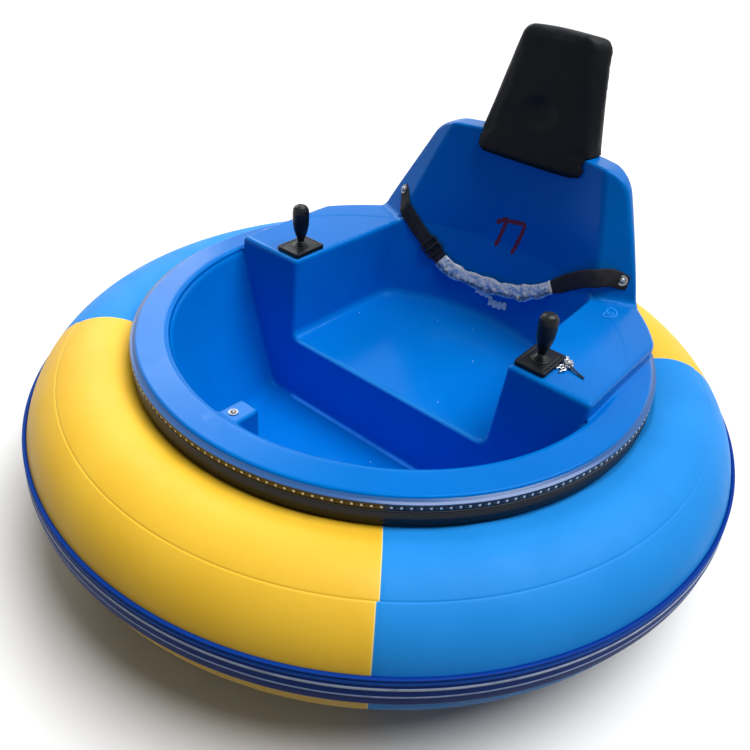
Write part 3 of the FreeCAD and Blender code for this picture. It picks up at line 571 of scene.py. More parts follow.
def backFace(x, rise):
    # the larger of the two y values, the crease between them eased over a few millimetres
    t = tub
    radius = np.interp(t["armZ"] + rise, t["faceZ"], t["faceR"])
    roundY = t["faceY"] + np.sqrt(radius ** 2 - x ** 2)
    wingY = t["wingY"] + t["wingSide"] * (np.abs(x) - t["wingX"]) + t["wingRise"] * rise
    return 0.5 * (roundY + wingY + np.sqrt((roundY - wingY) ** 2 + belt["crease"]))


def backNormal(x, rise):
    # square to the face: its change over a millimetre each way along x and z
    dx = (backFace(x + 1.0, rise) - backFace(x - 1.0, rise)) / 2
    dz = (backFace(x, rise + 1.0) - backFace(x, rise - 1.0)) / 2
    n = np.stack([dx, -np.ones_like(dx), dz], -1)
    return n / np.linalg.norm(n, axis=-1, keepdims=True)


def smoothPath(points, count, passes):
    # evenly spaced points on the given line, its corners eased
    points = np.asarray(points, float)
    length = np.concatenate([[0], np.cumsum(np.linalg.norm(np.diff(points, axis=0), axis=1))])
    even = np.linspace(0, length[-1], count)
    path = np.stack([np.interp(even, length, points[:, a]) for a in range(points.shape[1])], -1)
    for _ in range(passes):
        path[1:-1] = (path[:-2] + 2 * path[1:-1] + path[2:]) / 4
    return path


def strapPath(points, count, passes, facing=None):
    # The line on the backrest with its directions outwards and across. Where the strap stands off,
    # its outward direction turns from the face's own towards the one given.
    path = smoothPath(points, count, passes)
    x, rise, off = path.T
    n = backNormal(x, rise)
    for _ in range(4):
        n[1:-1] = (n[:-2] + 2 * n[1:-1] + n[2:]) / 4
    n /= np.linalg.norm(n, axis=1, keepdims=True)
    centre = np.stack([x, backFace(x, rise), tub["armZ"] + rise], -1) + n * (off + belt["under"])[:, None]
    if facing is not None:
        share = belt["turnShare"] * np.clip(off / belt["turnBy"], 0, 1)[:, None]
        n = n * (1 - share) + np.array(facing) * share
        n /= np.linalg.norm(n, axis=1, keepdims=True)
    ahead = np.gradient(centre, axis=0)
    ahead /= np.linalg.norm(ahead, axis=1, keepdims=True)
    out = n - ahead * (n * ahead).sum(1, keepdims=True)
    out /= np.linalg.norm(out, axis=1, keepdims=True)
    return centre, out, np.cross(ahead, out)


def strapPiece(name):
    # A flat ribbon, thinner at its edges. It narrows towards its ends as it is gathered, and its
    # edges curl with the square of their distance from the middle.
    t, strap = belt, belt[name]
    centre, out, across = strapPath(strap["points"], t["rows"], t["passes"], strap["facing"])
    run, one = np.linspace(-1, 1, t["cols"]), np.ones(t["cols"])
    section = np.concatenate([np.stack([run, one], -1), np.stack([run[::-1], 0 * one], -1)])
    share = np.linspace(0, 1, t["rows"])
    lift = strap["curl"] * np.sin(share * math.pi)
    nearStart, nearEnd = np.exp(-share / t["gatherRun"]), np.exp(-(1 - share) / t["gatherRun"])
    half = strap["width"] / 2 * (1 - strap["gathered"][0] * nearStart - strap["gathered"][1] * nearEnd)
    side = section[None, :, 0] * half[:, None]
    edge = 1 - t["thinEdge"] * np.abs(section[None, :, 0]) ** 12
    high = (section[None, :, 1] - 0.5) * t["wall"] * edge + t["wall"] / 2
    high = high + lift[:, None] * section[None, :, 0] ** 2
    high = high + t["ripple"] * np.sin(share * 40)[:, None] * section[None, :, 0]
    verts = centre[:, None] + across[:, None] * side[..., None] + out[:, None] * high[..., None]
    length = np.concatenate([[0], np.cumsum(np.linalg.norm(np.diff(centre, axis=0), axis=1))])
    uvs = np.stack(np.broadcast_arrays(length[:, None], side), -1) / 1000
    return meshPiece(name, verts.reshape(-1, 3) / 1000, tubeFaces(*verts.shape[:2]), uvs=uvs.reshape(-1, 2))


dress(strapPiece("strapRight"), "webbing", "belt_strap_right")
dress(strapPiece("strapLeft"), "webbing", "belt_strap_left")

# Slider that sets the belt's length: an oblong frame with a bar across its middle, bowed over the
# webbing. Bars are (place on the line, lift); a bar's size is its width and height.
slider = {
    "points": ((-261, -56, 7.5), (-240, -74, 7.5), (-222, -89, 7.5)), "rows": 31, "halfWidth": 28.0,
    "crossBars": ((1, 2.5), (15, 6.0), (29, 2.5)), "crossSize": (8.0, 4.6), "crossPoints": 15,
    "sideLift": 3.2, "sideSize": (6.0, 7.0),
}


def barAlong(points, width, height, outs):
    # an oval of ten points swept along the line
    points, outs = np.asarray(points, float), np.asarray(outs, float)
    ahead = np.gradient(points, axis=0)
    ahead /= np.linalg.norm(ahead, axis=1, keepdims=True)
    sideways = np.cross(ahead, outs)
    turn = np.linspace(0, 2 * math.pi, 10, endpoint=False)
    verts = (points[:, None] + sideways[:, None] * (np.cos(turn) * width / 2)[None, :, None]
             + outs[:, None] * (np.sin(turn) * height / 2)[None, :, None])
    return verts.reshape(-1, 3), tubeFaces(*verts.shape[:2])


def gather(parts):
    # several closed parts as one mesh in metres, each turned outwards
    verts, faces, start = [], [], 0
    for places, groups in parts:
        verts.append(places)
        faces += [group + start for group in outward(places - places.mean(0), groups)]
        start += len(places)
    return np.concatenate(verts) / 1000, faces


def sliderPiece():
    # three bars across the strap and one along each of its sides
    t = slider
    centre, out, across = strapPath(t["points"], t["rows"], 2)
    parts = []
    run = np.linspace(-1, 1, t["crossPoints"])
    for where, lift in t["crossBars"]:
        line = centre[where] + across[where] * run[:, None] * t["halfWidth"] + out[where] * lift
        parts.append(barAlong(line, *t["crossSize"], np.repeat(out[where][None], len(run), 0)))
    for sideSign in (-1, 1):
        line = centre[1:-1] + across[1:-1] * sideSign * t["halfWidth"] + out[1:-1] * t["sideLift"]
        parts.append(barAlong(line, *t["sideSize"], out[1:-1]))
    return meshPiece("slider", *gather(parts))


dress(sliderPiece(), "black_plastic", "belt_adjuster")

# Buckle wrapped in crinkled film: an oval sleeve along its line, pushed in and out by folded waves
# that are creased by taking absolute values. Swells are (share, waves, start). Scraps are loose ends
# of the film with (name, width, seed, points).
film = {
    "points": ((-203, -104, 3), (-186, -117, 2), (-160, -129, 2), (-121, -136, 2), (-45, -141, 2),
               (30, -134, 2), (104, -116, 2), (171, -80, 2), (206, -50, 3)),
    "rows": 260, "cols": 72, "passes": 20, "halfWidth": 24.5, "depth": 16.0, "under": 1.5,
    "swells": ((0.10, 19, 0), (0.07, 43, 1)), "squareness": 0.8, "endRun": 0.035, "endWidth": 0.86,
    "endDepth": 0.45, "endCrinkle": 0.35, "crinkle": 3.2, "sideCrinkle": 0.7, "underCrinkle": 0.2,
    "seed": 5, "folds": 4, "foldSize": 34.0, "length": 0.46,
    "scrapFolds": 3, "scrapFoldSize": 18.0, "scrapRows": 60, "scrapCols": 17, "scrapWall": 0.5,
    "scrapOver": 2.0, "scrapCrinkle": 1.6, "scrapTears": ((0.22, 23), (0.15, 61)),
    "scraps": (("filmScrapOne", 13.0, 8, ((-62, -168, 1), (-38, -172, 1), (-12, -172, 1), (4, -178, 1))),
               ("filmScrapTwo", 22.0, 11, ((-6, -186, 1), (22, -188, 1), (44, -184, 1), (62, -178, 1)))),
}


def folded(p, seed, octaves, size):
    # sum of creased waves in random directions; each has about half the size and weight of the last
    rng = np.random.default_rng(seed)
    total, weight = np.zeros(p.shape[:-1]), 1.0
    for _ in range(octaves):
        direction = rng.normal(size=(3, 3))
        direction /= np.linalg.norm(direction, axis=0)
        phase = rng.uniform(0, 6, 3)
        warp = np.sin(p @ direction / size * 2.1 + phase)
        waves = np.abs(np.sin(p @ direction[:, [1, 2, 0]] / size * math.pi + warp + phase))
        total += weight * (1 - waves.mean(-1) * 1.6)
        weight *= 0.55
        size *= 0.52
    return total


def filmPiece():
    # width and depth swell along the sleeve and close in at its ends; the side on the belt is calmer
    t = film
    centre, out, across = strapPath(t["points"], t["rows"], t["passes"])
    turn = np.linspace(0, 2 * math.pi, t["cols"], endpoint=False)
    share = np.linspace(0, 1, t["rows"])
    swell = 1 + sum(size * np.sin(share * waves + start) for size, waves, start in t["swells"])
    ends = np.clip(np.minimum(share, 1 - share) / t["endRun"], 0, 1) ** 0.5
    flatCos = np.sign(np.cos(turn)) * np.abs(np.cos(turn)) ** t["squareness"]
    flatSin = np.sign(np.sin(turn)) * np.abs(np.sin(turn)) ** t["squareness"]
    width, depth, strength = (least + (1 - least) * ends[:, None]
                              for least in (t["endWidth"], t["endDepth"], t["endCrinkle"]))
    side = t["halfWidth"] * swell[:, None] * width * flatCos[None]
    high = t["depth"] / 2 * depth * flatSin[None] + t["depth"] / 2 + t["under"]
    base = centre[:, None] + across[:, None] * side[..., None] + out[:, None] * high[..., None]
    push = folded(base, t["seed"], t["folds"], t["foldSize"]) * t["crinkle"] * strength
    push = np.where(flatSin[None] < -0.2, push * t["underCrinkle"], push)
    spoke = across[:, None] * flatCos[None, :, None] * t["sideCrinkle"]
    spoke = spoke + out[:, None] * flatSin[None, :, None]
    verts = base + spoke * push[..., None]
    uvs = np.stack(np.broadcast_arrays(share[:, None] * t["length"], turn[None] / (2 * math.pi)), -1)
    return meshPiece("wrappedBuckle", verts.reshape(-1, 3) / 1000, tubeFaces(*verts.shape[:2]),
                     uvs=uvs.reshape(-1, 2))


dress(filmPiece(), "film", "belt_buckle")


def scrapPiece(name, width, seed, points):
    # a creased thin ribbon, its width torn unevenly by two waves
    t = film
    centre, out, across = strapPath(points, t["scrapRows"], 4)
    run = np.linspace(-1, 1, t["scrapCols"])
    torn = 1 + sum(size * np.sin(np.linspace(0, waves, len(centre))) for size, waves in t["scrapTears"])
    base = centre[:, None] + across[:, None] * (run[None] * width / 2 * torn[:, None])[..., None]
    lift = t["scrapOver"] + t["scrapCrinkle"] * folded(base, seed, t["scrapFolds"], t["scrapFoldSize"])
    top = base + out[:, None] * lift[..., None]
    low = top - out[:, None] * t["scrapWall"]
    verts = np.concatenate([top, low[:, ::-1]], 1)
    rows, cols = verts.shape[:2]
    u, v = np.linspace(0, 0.1, rows)[:, None], np.linspace(0, 1, cols)[None]
    uvs = np.stack(np.broadcast_arrays(u, v), -1)
    return meshPiece(name, verts.reshape(-1, 3) / 1000, tubeFaces(rows, cols), uvs=uvs.reshape(-1, 2))


for scrap in film["scraps"]:
    dress(scrapPiece(*scrap), "film")
print("belt")

# Painted number and rub mark: thin lines laid on the surface. Each is a narrow ribbon through its
# points, its width uneven as a brush leaves it. The number's points are (x, rise over the armrests)
# on the backrest; the rub mark's are (x, y) on the left armrest, with a width and a seed for each.
marks = {
    "wall": 0.5, "over": 0.35, "numberWidth": 14.0, "numberPoints": 24, "scuffPoints": 44,
    "number": (((-58, 55), (-42, 68), (-22, 80)), ((-23, 82), (-29, 45), (-36, 10), (-43, -17)),
               ((-36, 69), (-10, 74), (18, 78), (44, 82)), ((42, 84), (37, 50), (29, 12), (19, -23))),
    "scuff": ((4.5, 9, ((414, 440), (419, 452), (436, 446), (449, 428), (447, 408), (436, 392), (424, 388),
                        (419, 402), (420, 424), (414, 440))),
              (3.0, 10, ((428, 424), (436, 428), (440, 418), (436, 406), (428, 408), (427, 418),
                         (428, 424)))),
}


def inkLine(points, normals, width, seed):
    # half width is a smoothed random share of the given one, less at both ends
    rng = np.random.default_rng(seed)
    count = len(points)
    ahead = np.gradient(points, axis=0)
    ahead /= np.linalg.norm(ahead, axis=1, keepdims=True)
    across = np.cross(ahead, normals)
    wobble = np.convolve(rng.uniform(0.72, 1.2, count + 4), np.ones(5) / 5, "valid")
    taper = np.clip(np.minimum(np.arange(count), np.arange(count)[::-1]) / 2.0, 0.35, 1)
    half = (width / 2 * wobble * taper)[:, None]
    left, right = points - across * half, points + across * half
    under = normals * marks["wall"]
    verts = np.stack([left, right, right - under, left - under], 1)
    return verts.reshape(-1, 3), tubeFaces(count, 4)


def numberPiece():
    # a one and a seven as four strokes laid just over the backrest's face
    parts = []
    for seed, stroke in enumerate(marks["number"]):
        x, rise = smoothPath(stroke, marks["numberPoints"], 2).T
        n = backNormal(x, rise)
        points = np.stack([x, backFace(x, rise), tub["armZ"] + rise], -1) + n * marks["over"]
        parts.append(inkLine(points, n, marks["numberWidth"], seed))
    return meshPiece("paintedNumber", *gather(parts), smooth=False)


def scuffPiece():
    # rounded three-cornered outline with a smaller one inside
    parts = []
    for width, seed, line in marks["scuff"]:
        path = smoothPath(line, marks["scuffPoints"], 3)
        points = np.column_stack([path, np.full(len(path), tub["armZ"] + marks["over"])])
        parts.append(inkLine(points, np.repeat([[0, 0, 1.0]], len(points), 0), width, seed))
    return meshPiece("scuffMark", *gather(parts), smooth=False)


dress(numberPiece(), "shell_blue")
dress(scuffPiece(), "shell_blue")

# Joystick bases: rounded rectangles at rising insets give the plate a raised edge, a groove and an
# inner field. The boot is a turned section of shrinking folds, and the screws are small domes.
# Steps are (inset, rise), folds and the dome's rows are (radius, rise).
stick = {
    "places": (("Right", -415.0, 63.0), ("Left", 415.0, 63.0)), "halfX": 43.0, "halfY": 56.0,
    "corner": 7.0, "leastCorner": 1.5, "cornerPoints": 15,
    "steps": ((0.0, 0.0), (0.0, 9.6), (0.7, 11.3), (2.2, 12.0), (6.4, 12.0), (7.4, 11.6), (8.2, 10.6),
              (9.8, 10.6), (10.8, 11.3), (14.0, 11.5)),
    "boot": ((26.0, 11.3), (25.5, 13.0), (21.5, 14.2), (19.0, 15.0), (20.6, 16.6), (17.4, 17.6),
             (15.8, 18.4), (17.2, 20.0), (14.2, 21.2), (12.6, 22.0), (13.4, 23.4), (11.0, 24.6),
             (10.4, 26.0)),
    "bootPoints": 40, "screwX": 32.2, "screwY": 45.12, "screwZ": 11.4, "screwR": 3.6, "screwRise": 1.5,
    "screwPoints": 14, "domeRows": ((1.0, 0.0), (0.97, 0.35), (0.86, 0.72), (0.62, 0.94), (0.3, 1.0)),
    "sharpAngle": 50.0,
}


def roundedRectangle(halfX, halfY, radius):
    # quarter arcs joined by straight sides, anticlockwise from the right
    turn = np.linspace(0, math.pi / 2, stick["cornerPoints"])
    quarter = np.stack([np.cos(turn), np.sin(turn)], -1) * radius
    corners = []
    for k, (sx, sy) in enumerate(((1, 1), (-1, 1), (-1, -1), (1, -1))):
        cosine, sine = math.cos(k * math.pi / 2), math.sin(k * math.pi / 2)
        arc = quarter @ np.array([[cosine, sine], [-sine, cosine]])
        corners.append(arc + np.array([sx * (halfX - radius), sy * (halfY - radius)]))
    return np.concatenate(corners)


def turnedRows(rows, count):
    # circles of the given radius and rise, one row each
    rows = np.array(rows)
    turn = np.linspace(0, 2 * math.pi, count, endpoint=False)
    x, y = rows[:, :1] * np.cos(turn), rows[:, :1] * np.sin(turn)
    return np.stack(np.broadcast_arrays(x, y, rows[:, 1:]), -1).reshape(-1, 3), tubeFaces(len(rows), count)


def stickBase(name, x, y):
    # plate, boot and four screws as one mesh; sharp edges keep their shading apart
    t = stick
    rows = []
    for inset, rise in t["steps"]:
        corner = max(t["corner"] - inset, t["leastCorner"])
        edge = roundedRectangle(t["halfX"] - inset, t["halfY"] - inset, corner)
        rows.append(np.column_stack([edge, np.full(len(edge), rise)]))
    plate = np.stack(rows)
    parts = [(plate.reshape(-1, 3), tubeFaces(*plate.shape[:2])), turnedRows(t["boot"], t["bootPoints"])]
    screw, faces = turnedRows(np.array(t["domeRows"]) * (t["screwR"], t["screwRise"]), t["screwPoints"])
    for sx in (-1, 1):
        for sy in (-1, 1):
            parts.append((screw + np.array([sx * t["screwX"], sy * t["screwY"], t["screwZ"]]), faces))
    verts, faces = gather(parts)
    piece = meshPiece(name, verts + np.array([x, y, tub["armZ"]]) / 1000, faces)
    sharp = piece.modifiers.new("sharp", "EDGE_SPLIT")
    sharp.split_angle = math.radians(t["sharpAngle"])
    return piece


for sideName, x, y in stick["places"]:
    dress(stickBase("stickBase" + sideName, x, y), "black_plastic", "joystick_base_" + sideName.lower())

# Bunch of keys on a split ring beside the lock: each key is a pierced round head and a flat blade,
# given as (x, y, z, heading, pitch) in millimetres and degrees.
keys = {
    "thick": 2.4, "headR": 8.0, "hole": 2.6, "headPoints": 28,
    "blade": 9.0, "bladeWidth": 6.5, "bladePoints": 13, "bladeInHead": 1.5, "bladeThin": 0.8,
    "each": ((475.0, 73.0, 545.0, -98.0, -6.0), (468.0, 103.0, 551.0, 118.0, 8.0),
             (482.0, 92.0, 547.0, -20.0, -12.0), (465.0, 82.0, 543.5, -112.0, -3.0)),
    "ring": (478.0, 94.0, 549.0), "ringR": 10.0, "ringWire": 1.7, "ringPoints": 36,
    "ringAxes": ((0.9, -0.3, 0.3), (0.25, 0.95, 0.2)),
    "tail": ((484.0, 90.0, 548.0), (494.0, 87.0, 546.5), (511.0, 82.0, 543.5), (529.0, 77.0, 542.4)),
    "tailSize": (6.5, 3.0), "tailPoints": 24, "tailUp": (0.25, 0.0, 0.97),
}


def hoop(centre, u, v, radius, width, height, count):
    # closed ring of oval section in the plane of u and v
    centre, u, v = (np.asarray(each, float) for each in (centre, u, v))
    a = np.linspace(0, 2 * math.pi, count, endpoint=False)[:, None, None]
    b = np.linspace(0, 2 * math.pi, 8, endpoint=False)[None, :, None]
    spoke = u * np.cos(a) + v * np.sin(a)
    verts = centre + spoke * (radius + np.cos(b) * width / 2) + np.cross(u, v) * np.sin(b) * height / 2
    return verts.reshape(-1, 3), [gridFaces(count, 8, True)]


def keyParts(x, y, z, heading, pitch):
    # the head is a ring round the given place, and the blade starts inside its edge and runs ahead
    t = keys
    h, p = math.radians(heading), math.radians(pitch)
    ahead = np.array([math.cos(h) * math.cos(p), math.sin(h) * math.cos(p), math.sin(p)])
    side = np.array([-math.sin(h), math.cos(h), 0.0])
    middle, width = (t["headR"] + t["hole"]) / 2, t["headR"] - t["hole"]
    head = hoop((x, y, z), ahead, side, middle, width, t["thick"], t["headPoints"])
    steps = np.linspace(t["headR"] - t["bladeInHead"], t["headR"] + t["blade"], t["bladePoints"])
    line = np.array([x, y, z]) + ahead * steps[:, None]
    up = np.repeat(np.cross(ahead, side)[None], len(line), 0)
    return [head, barAlong(line, t["bladeWidth"], t["thick"] * t["bladeThin"], up)]


def keyBunch():
    # all keys and the split ring as one mesh
    t = keys
    parts = []
    for each in t["each"]:
        parts += keyParts(*each)
    parts.append(hoop(t["ring"], *t["ringAxes"], t["ringR"], t["ringWire"], t["ringWire"], t["ringPoints"]))
    return meshPiece("keyBunch", *gather(parts))


def keyTail():
    # a short flat strap hanging from the split ring
    line = smoothPath(keys["tail"], keys["tailPoints"], 2)
    up = np.repeat([keys["tailUp"]], len(line), 0)
    return meshPiece("keyTail", *gather([barAlong(line, *keys["tailSize"], up)]))


dress(keyBunch(), "bright_steel", "key_ring")
dress(keyTail(), "black_plastic")
print("controls")

# Headrest: a foam block under vinyl. The block's own mesh is evened out to small cells and blown up
# a little, as a stretched cover is, and a shallow oval dent is pressed in its face. Moves in
# millimetres; the pairs are at the cushion's top and foot.
headrest = {
    "cell": 5.0, "shrink": 0.99, "most": 5.0, "calm": 10, "lean": 10.0,
    "frames": 20, "cloth": {"quality": 6, "mass": 0.3, "tension_stiffness": 60, "compression_stiffness": 60,
                            "shear_stiffness": 40, "bending_stiffness": 12, "use_pressure": True,
                            "uniform_pressure_force": 3.0},
    "frontIn": (14.0, -6.0), "backOut": (15.0, 7.0), "rightOut": 9.0, "footForward": 6.0,
    "backFrom": 0.2, "backRun": 0.5, "sideRun": 60.0,
    "dentHalf": (64.0, 48.0), "dentX": 4.0, "dentDepth": 12.5, "dentHeight": 0.40, "dentPower": 1.2,
    "faceFrom": 30.0, "faceRun": 20.0,
}


def smoothField(mesh, field, passes):
    # each vertex takes the mean of its own move and that of its neighbours
    edges = np.zeros(len(mesh.edges) * 2, np.int32)
    mesh.edges.foreach_get("vertices", edges)
    a, b = edges.reshape(-1, 2).T
    count = np.bincount(np.concatenate([a, b]), minlength=len(field)).astype(float)[:, None]
    for _ in range(passes):
        total = np.zeros_like(field)
        for axis in range(3):
            total[:, axis] = np.bincount(a, field[b, axis], len(field))
            total[:, axis] += np.bincount(b, field[a, axis], len(field))
        field = 0.4 * field + 0.6 * total / count
    return field


def applied(piece):
    # the mesh as its modifiers leave it takes the place of its own
    graph = bpy.context.evaluated_depsgraph_get()
    mesh = bpy.data.meshes.new_from_object(piece.evaluated_get(graph))
    piece.modifiers.clear()
    old = piece.data
    piece.data = mesh
    bpy.data.meshes.remove(old)


def placesOf(piece):
    # the mesh's points, one row each
    flat = np.zeros(len(piece.data.vertices) * 3, np.float32)
    piece.data.vertices.foreach_get("co", flat)
    return flat.reshape(-1, 3).astype(float)


def setPlaces(piece, places):
    # the mesh's points go to these rows
    piece.data.vertices.foreach_set("co", places.astype(np.float32).ravel())


def headrestPiece():
    # cells, blowing up, moves of the sides and foot, dent, then one round of subdivision
    t = headrest
    pad = bpy.data.objects.new("headrestCushion", nodes["headrest_pad"].data.copy())
    scene.collection.objects.link(pad)
    pad.data.materials.clear()
    start = placesOf(pad)
    middle = (start.min(0) + start.max(0)) / 2
    setPlaces(pad, middle + (start - middle) * t["shrink"])
    cells = pad.modifiers.new("cells", "REMESH")
    cells.mode = "VOXEL"
    cells.voxel_size = t["cell"] / 1000
    applied(pad)
    before = smoothField(pad.data, placesOf(pad), 2)
    setPlaces(pad, before)
    cloth = pad.modifiers.new("cover", "CLOTH")
    for key, value in t["cloth"].items():
        setattr(cloth.settings, key, value)
    cloth.settings.effector_weights.gravity = 0
    cloth.point_cache.frame_start, cloth.point_cache.frame_end = 1, t["frames"]
    for step in range(1, t["frames"] + 1):
        scene.frame_set(step)
    applied(pad)
    scene.frame_set(1)
    # each point's move is cut to the most it may be
    move = placesOf(pad) - before
    size = np.linalg.norm(move, axis=1, keepdims=True)
    move = move * np.minimum(1, t["most"] / 1000 / np.maximum(size, 1e-9))
    lean = math.radians(t["lean"])
    up, out = np.array([0, math.sin(lean), math.cos(lean)]), np.array([0, -math.cos(lean), math.sin(lean)])
    heights, depths = before @ up, before @ out
    # the sides widen towards the backing board, and the rider's left one leans in at the front
    down = np.clip((heights.max() - heights) / (heights.max() - heights.min()), 0, 1)
    behind = (depths.max() - depths) / (depths.max() - depths.min())
    behind = np.clip((behind - t["backFrom"]) / t["backRun"], 0, 1)
    toLeft = np.clip(before[:, 0] * 1000 / t["sideRun"] + 0.5, 0, 1)
    backOut = t["backOut"][0] * (1 - down) + t["backOut"][1] * down
    frontIn = t["frontIn"][0] * (1 - down) + t["frontIn"][1] * down
    move[:, 0] += toLeft * (backOut * behind - frontIn * (1 - behind)) / 1000
    move += out * (t["footForward"] * np.clip(down * 2 - 1, 0, 1) / 1000)[:, None]
    move[:, 0] -= (1 - toLeft) * t["rightOut"] * behind / 1000
    after = before + smoothField(pad.data, move, t["calm"])
    # the dent's depth falls with the square of the distance from its middle
    heights, depths = after @ up, after @ out
    centre = heights.min() + (heights.max() - heights.min()) * t["dentHeight"]
    halfX, halfZ = t["dentHalf"]
    away = np.hypot((after[:, 0] * 1000 - t["dentX"]) / halfX, (heights - centre) * 1000 / halfZ)
    facing = np.clip(((depths - depths.max()) * 1000 + t["faceFrom"]) / t["faceRun"], 0, 1)
    dent = t["dentDepth"] / 1000 * np.clip(1 - away ** 2, 0, 1) ** t["dentPower"] * facing
    setPlaces(pad, after - out * dent[:, None])
    finer = pad.modifiers.new("finer", "SUBSURF")
    finer.levels = finer.render_levels = 1
    applied(pad)
    pad.data.polygons.foreach_set("use_smooth", np.ones(len(pad.data.polygons), bool))
    return pad


cushion = dress(headrestPiece(), "black_vinyl", "headrest_pad")
print("headrest", len(cushion.data.polygons))


def alongX(tree, place, y, z, full, none, halfLength):
    # One within full mm of the line through y and z along x, falling to nothing at none mm. It falls
    # to nothing at both ends as well, over 25 mm.
    off = addNode(tree, "Mapping", Vector=place, Scale=(0, 1, 1), Location=(0, -y / 1000, -z / 1000))
    far = addNode(tree, "VectorMath", "Value", operation="LENGTH", Vector=off)
    near = addNode(tree, "MapRange", Value=far, From_Min=full / 1000, From_Max=none / 1000,
                   To_Min=1.0, To_Max=0.0)
    x = addNode(tree, "SeparateXYZ", "X", Vector=place)
    side = addNode(tree, "Math", operation="ABSOLUTE", _0=x)
    ends = addNode(tree, "MapRange", Value=side, From_Min=(halfLength - 25) / 1000,
                   From_Max=halfLength / 1000, To_Min=1.0, To_Max=0.0)
    return addNode(tree, "Math", operation="MULTIPLY", _0=near, _1=ends)


def gelcoatMaterial():
    # Gelcoat on hand-laid glass fibre: solid pigment under a hard gloss with a little orange peel.
    # The eye gets a deep blue with soft bright edges, painted highlights on the seat's front edge and riser
    # foot, and white dust in the well.
    material, tree, shader = newMaterial("blueGelcoat")
    place = addNode(tree, "TexCoord", "Object")
    height = addNode(tree, "SeparateXYZ", "Z", Vector=place)
    tone = addNode(tree, "TexNoise", Vector=place, Scale=perMetre(260.0), Detail=3.0)
    tone = addNode(tree, "MapRange", Value=tone, From_Min=0.35, From_Max=0.65)
    color = addNode(tree, "Mix", 2, data_type="RGBA", _0=tone, _6=hexColor("#0070CC"),
                    _7=hexColor("#0076D4"))
    # painted highlights: a pale line along the seat's front edge, and a patchy pale line along the foot of
    # the riser
    t = tub
    edgeY = t["frontY"] + t["frontSlope"] * (t["seatZ"] - t["floorZ"])
    paintedEdgeHighlight = alongX(tree, place, edgeY + 1.5, t["seatZ"] - 4.5, 3.0, 9.0, 346.0)
    paintedEdgeHighlight = addNode(tree, "Math", operation="MULTIPLY", _0=paintedEdgeHighlight, _1=0.6)
    color = addNode(tree, "Mix", 2, data_type="RGBA", _0=paintedEdgeHighlight, _6=color, _7=hexColor("#3CB0FF"))
    patchy = addNode(tree, "TexNoise", Vector=place, Scale=perMetre(120.0))
    patchy = addNode(tree, "MapRange", Value=patchy, From_Min=0.30, From_Max=0.55, To_Min=0.45, To_Max=1.0)
    # painted highlight along the riser's foot, broken into patches
    foot = alongX(tree, place, t["frontY"] - 5.0, t["floorZ"] + 4.0, 2.0, 7.5, 345.0)
    foot = addNode(tree, "Math", operation="MULTIPLY", _0=foot, _1=patchy)
    color = addNode(tree, "Mix", 2, data_type="RGBA", _0=foot, _6=color, _7=hexColor("#40A8FF"))
    # specks of dust: only the middles of the cells, only low down, and only in patches
    specks = addNode(tree, "TexVoronoi", "Distance", feature="F1", Vector=place, Scale=perMetre(70.0))
    specks = addNode(tree, "MapRange", Value=specks, From_Min=0.020, From_Max=0.030, To_Min=1.0, To_Max=0.0)
    low = addNode(tree, "MapRange", Value=height, From_Min=0.30, From_Max=0.50, To_Min=1.0, To_Max=0.06)
    chosen = addNode(tree, "TexNoise", Vector=place, Scale=perMetre(230.0), Detail=1.0)
    chosen = addNode(tree, "MapRange", Value=chosen, From_Min=0.50, From_Max=0.62)
    dust = addNode(tree, "Math", operation="MULTIPLY", _0=specks, _1=low)
    dust = addNode(tree, "Math", operation="MULTIPLY", _0=dust, _1=chosen)
    color = addNode(tree, "Mix", 2, data_type="RGBA", _0=dust, _6=color, _7=hexColor("#DDEBFF"))
    haze = addNode(tree, "TexNoise", Vector=place, Scale=perMetre(45.0), Detail=5.0, Roughness=0.65)
    haze = addNode(tree, "MapRange", Value=haze, From_Min=0.3, From_Max=0.75, To_Min=0.16, To_Max=0.27)
    peel = addNode(tree, "TexNoise", Vector=place, Scale=perMetre(9.0), Detail=1.0)
    peel = addNode(tree, "Bump", Height=peel, Distance=0.05 / 1000, Strength=1.0)
    plug(shader, Base_Color=color, Roughness=haze, Specular_Tint=hexColor("#3CA0FF"),
         Specular_IOR_Level=0.24, Normal=peel)
    return material


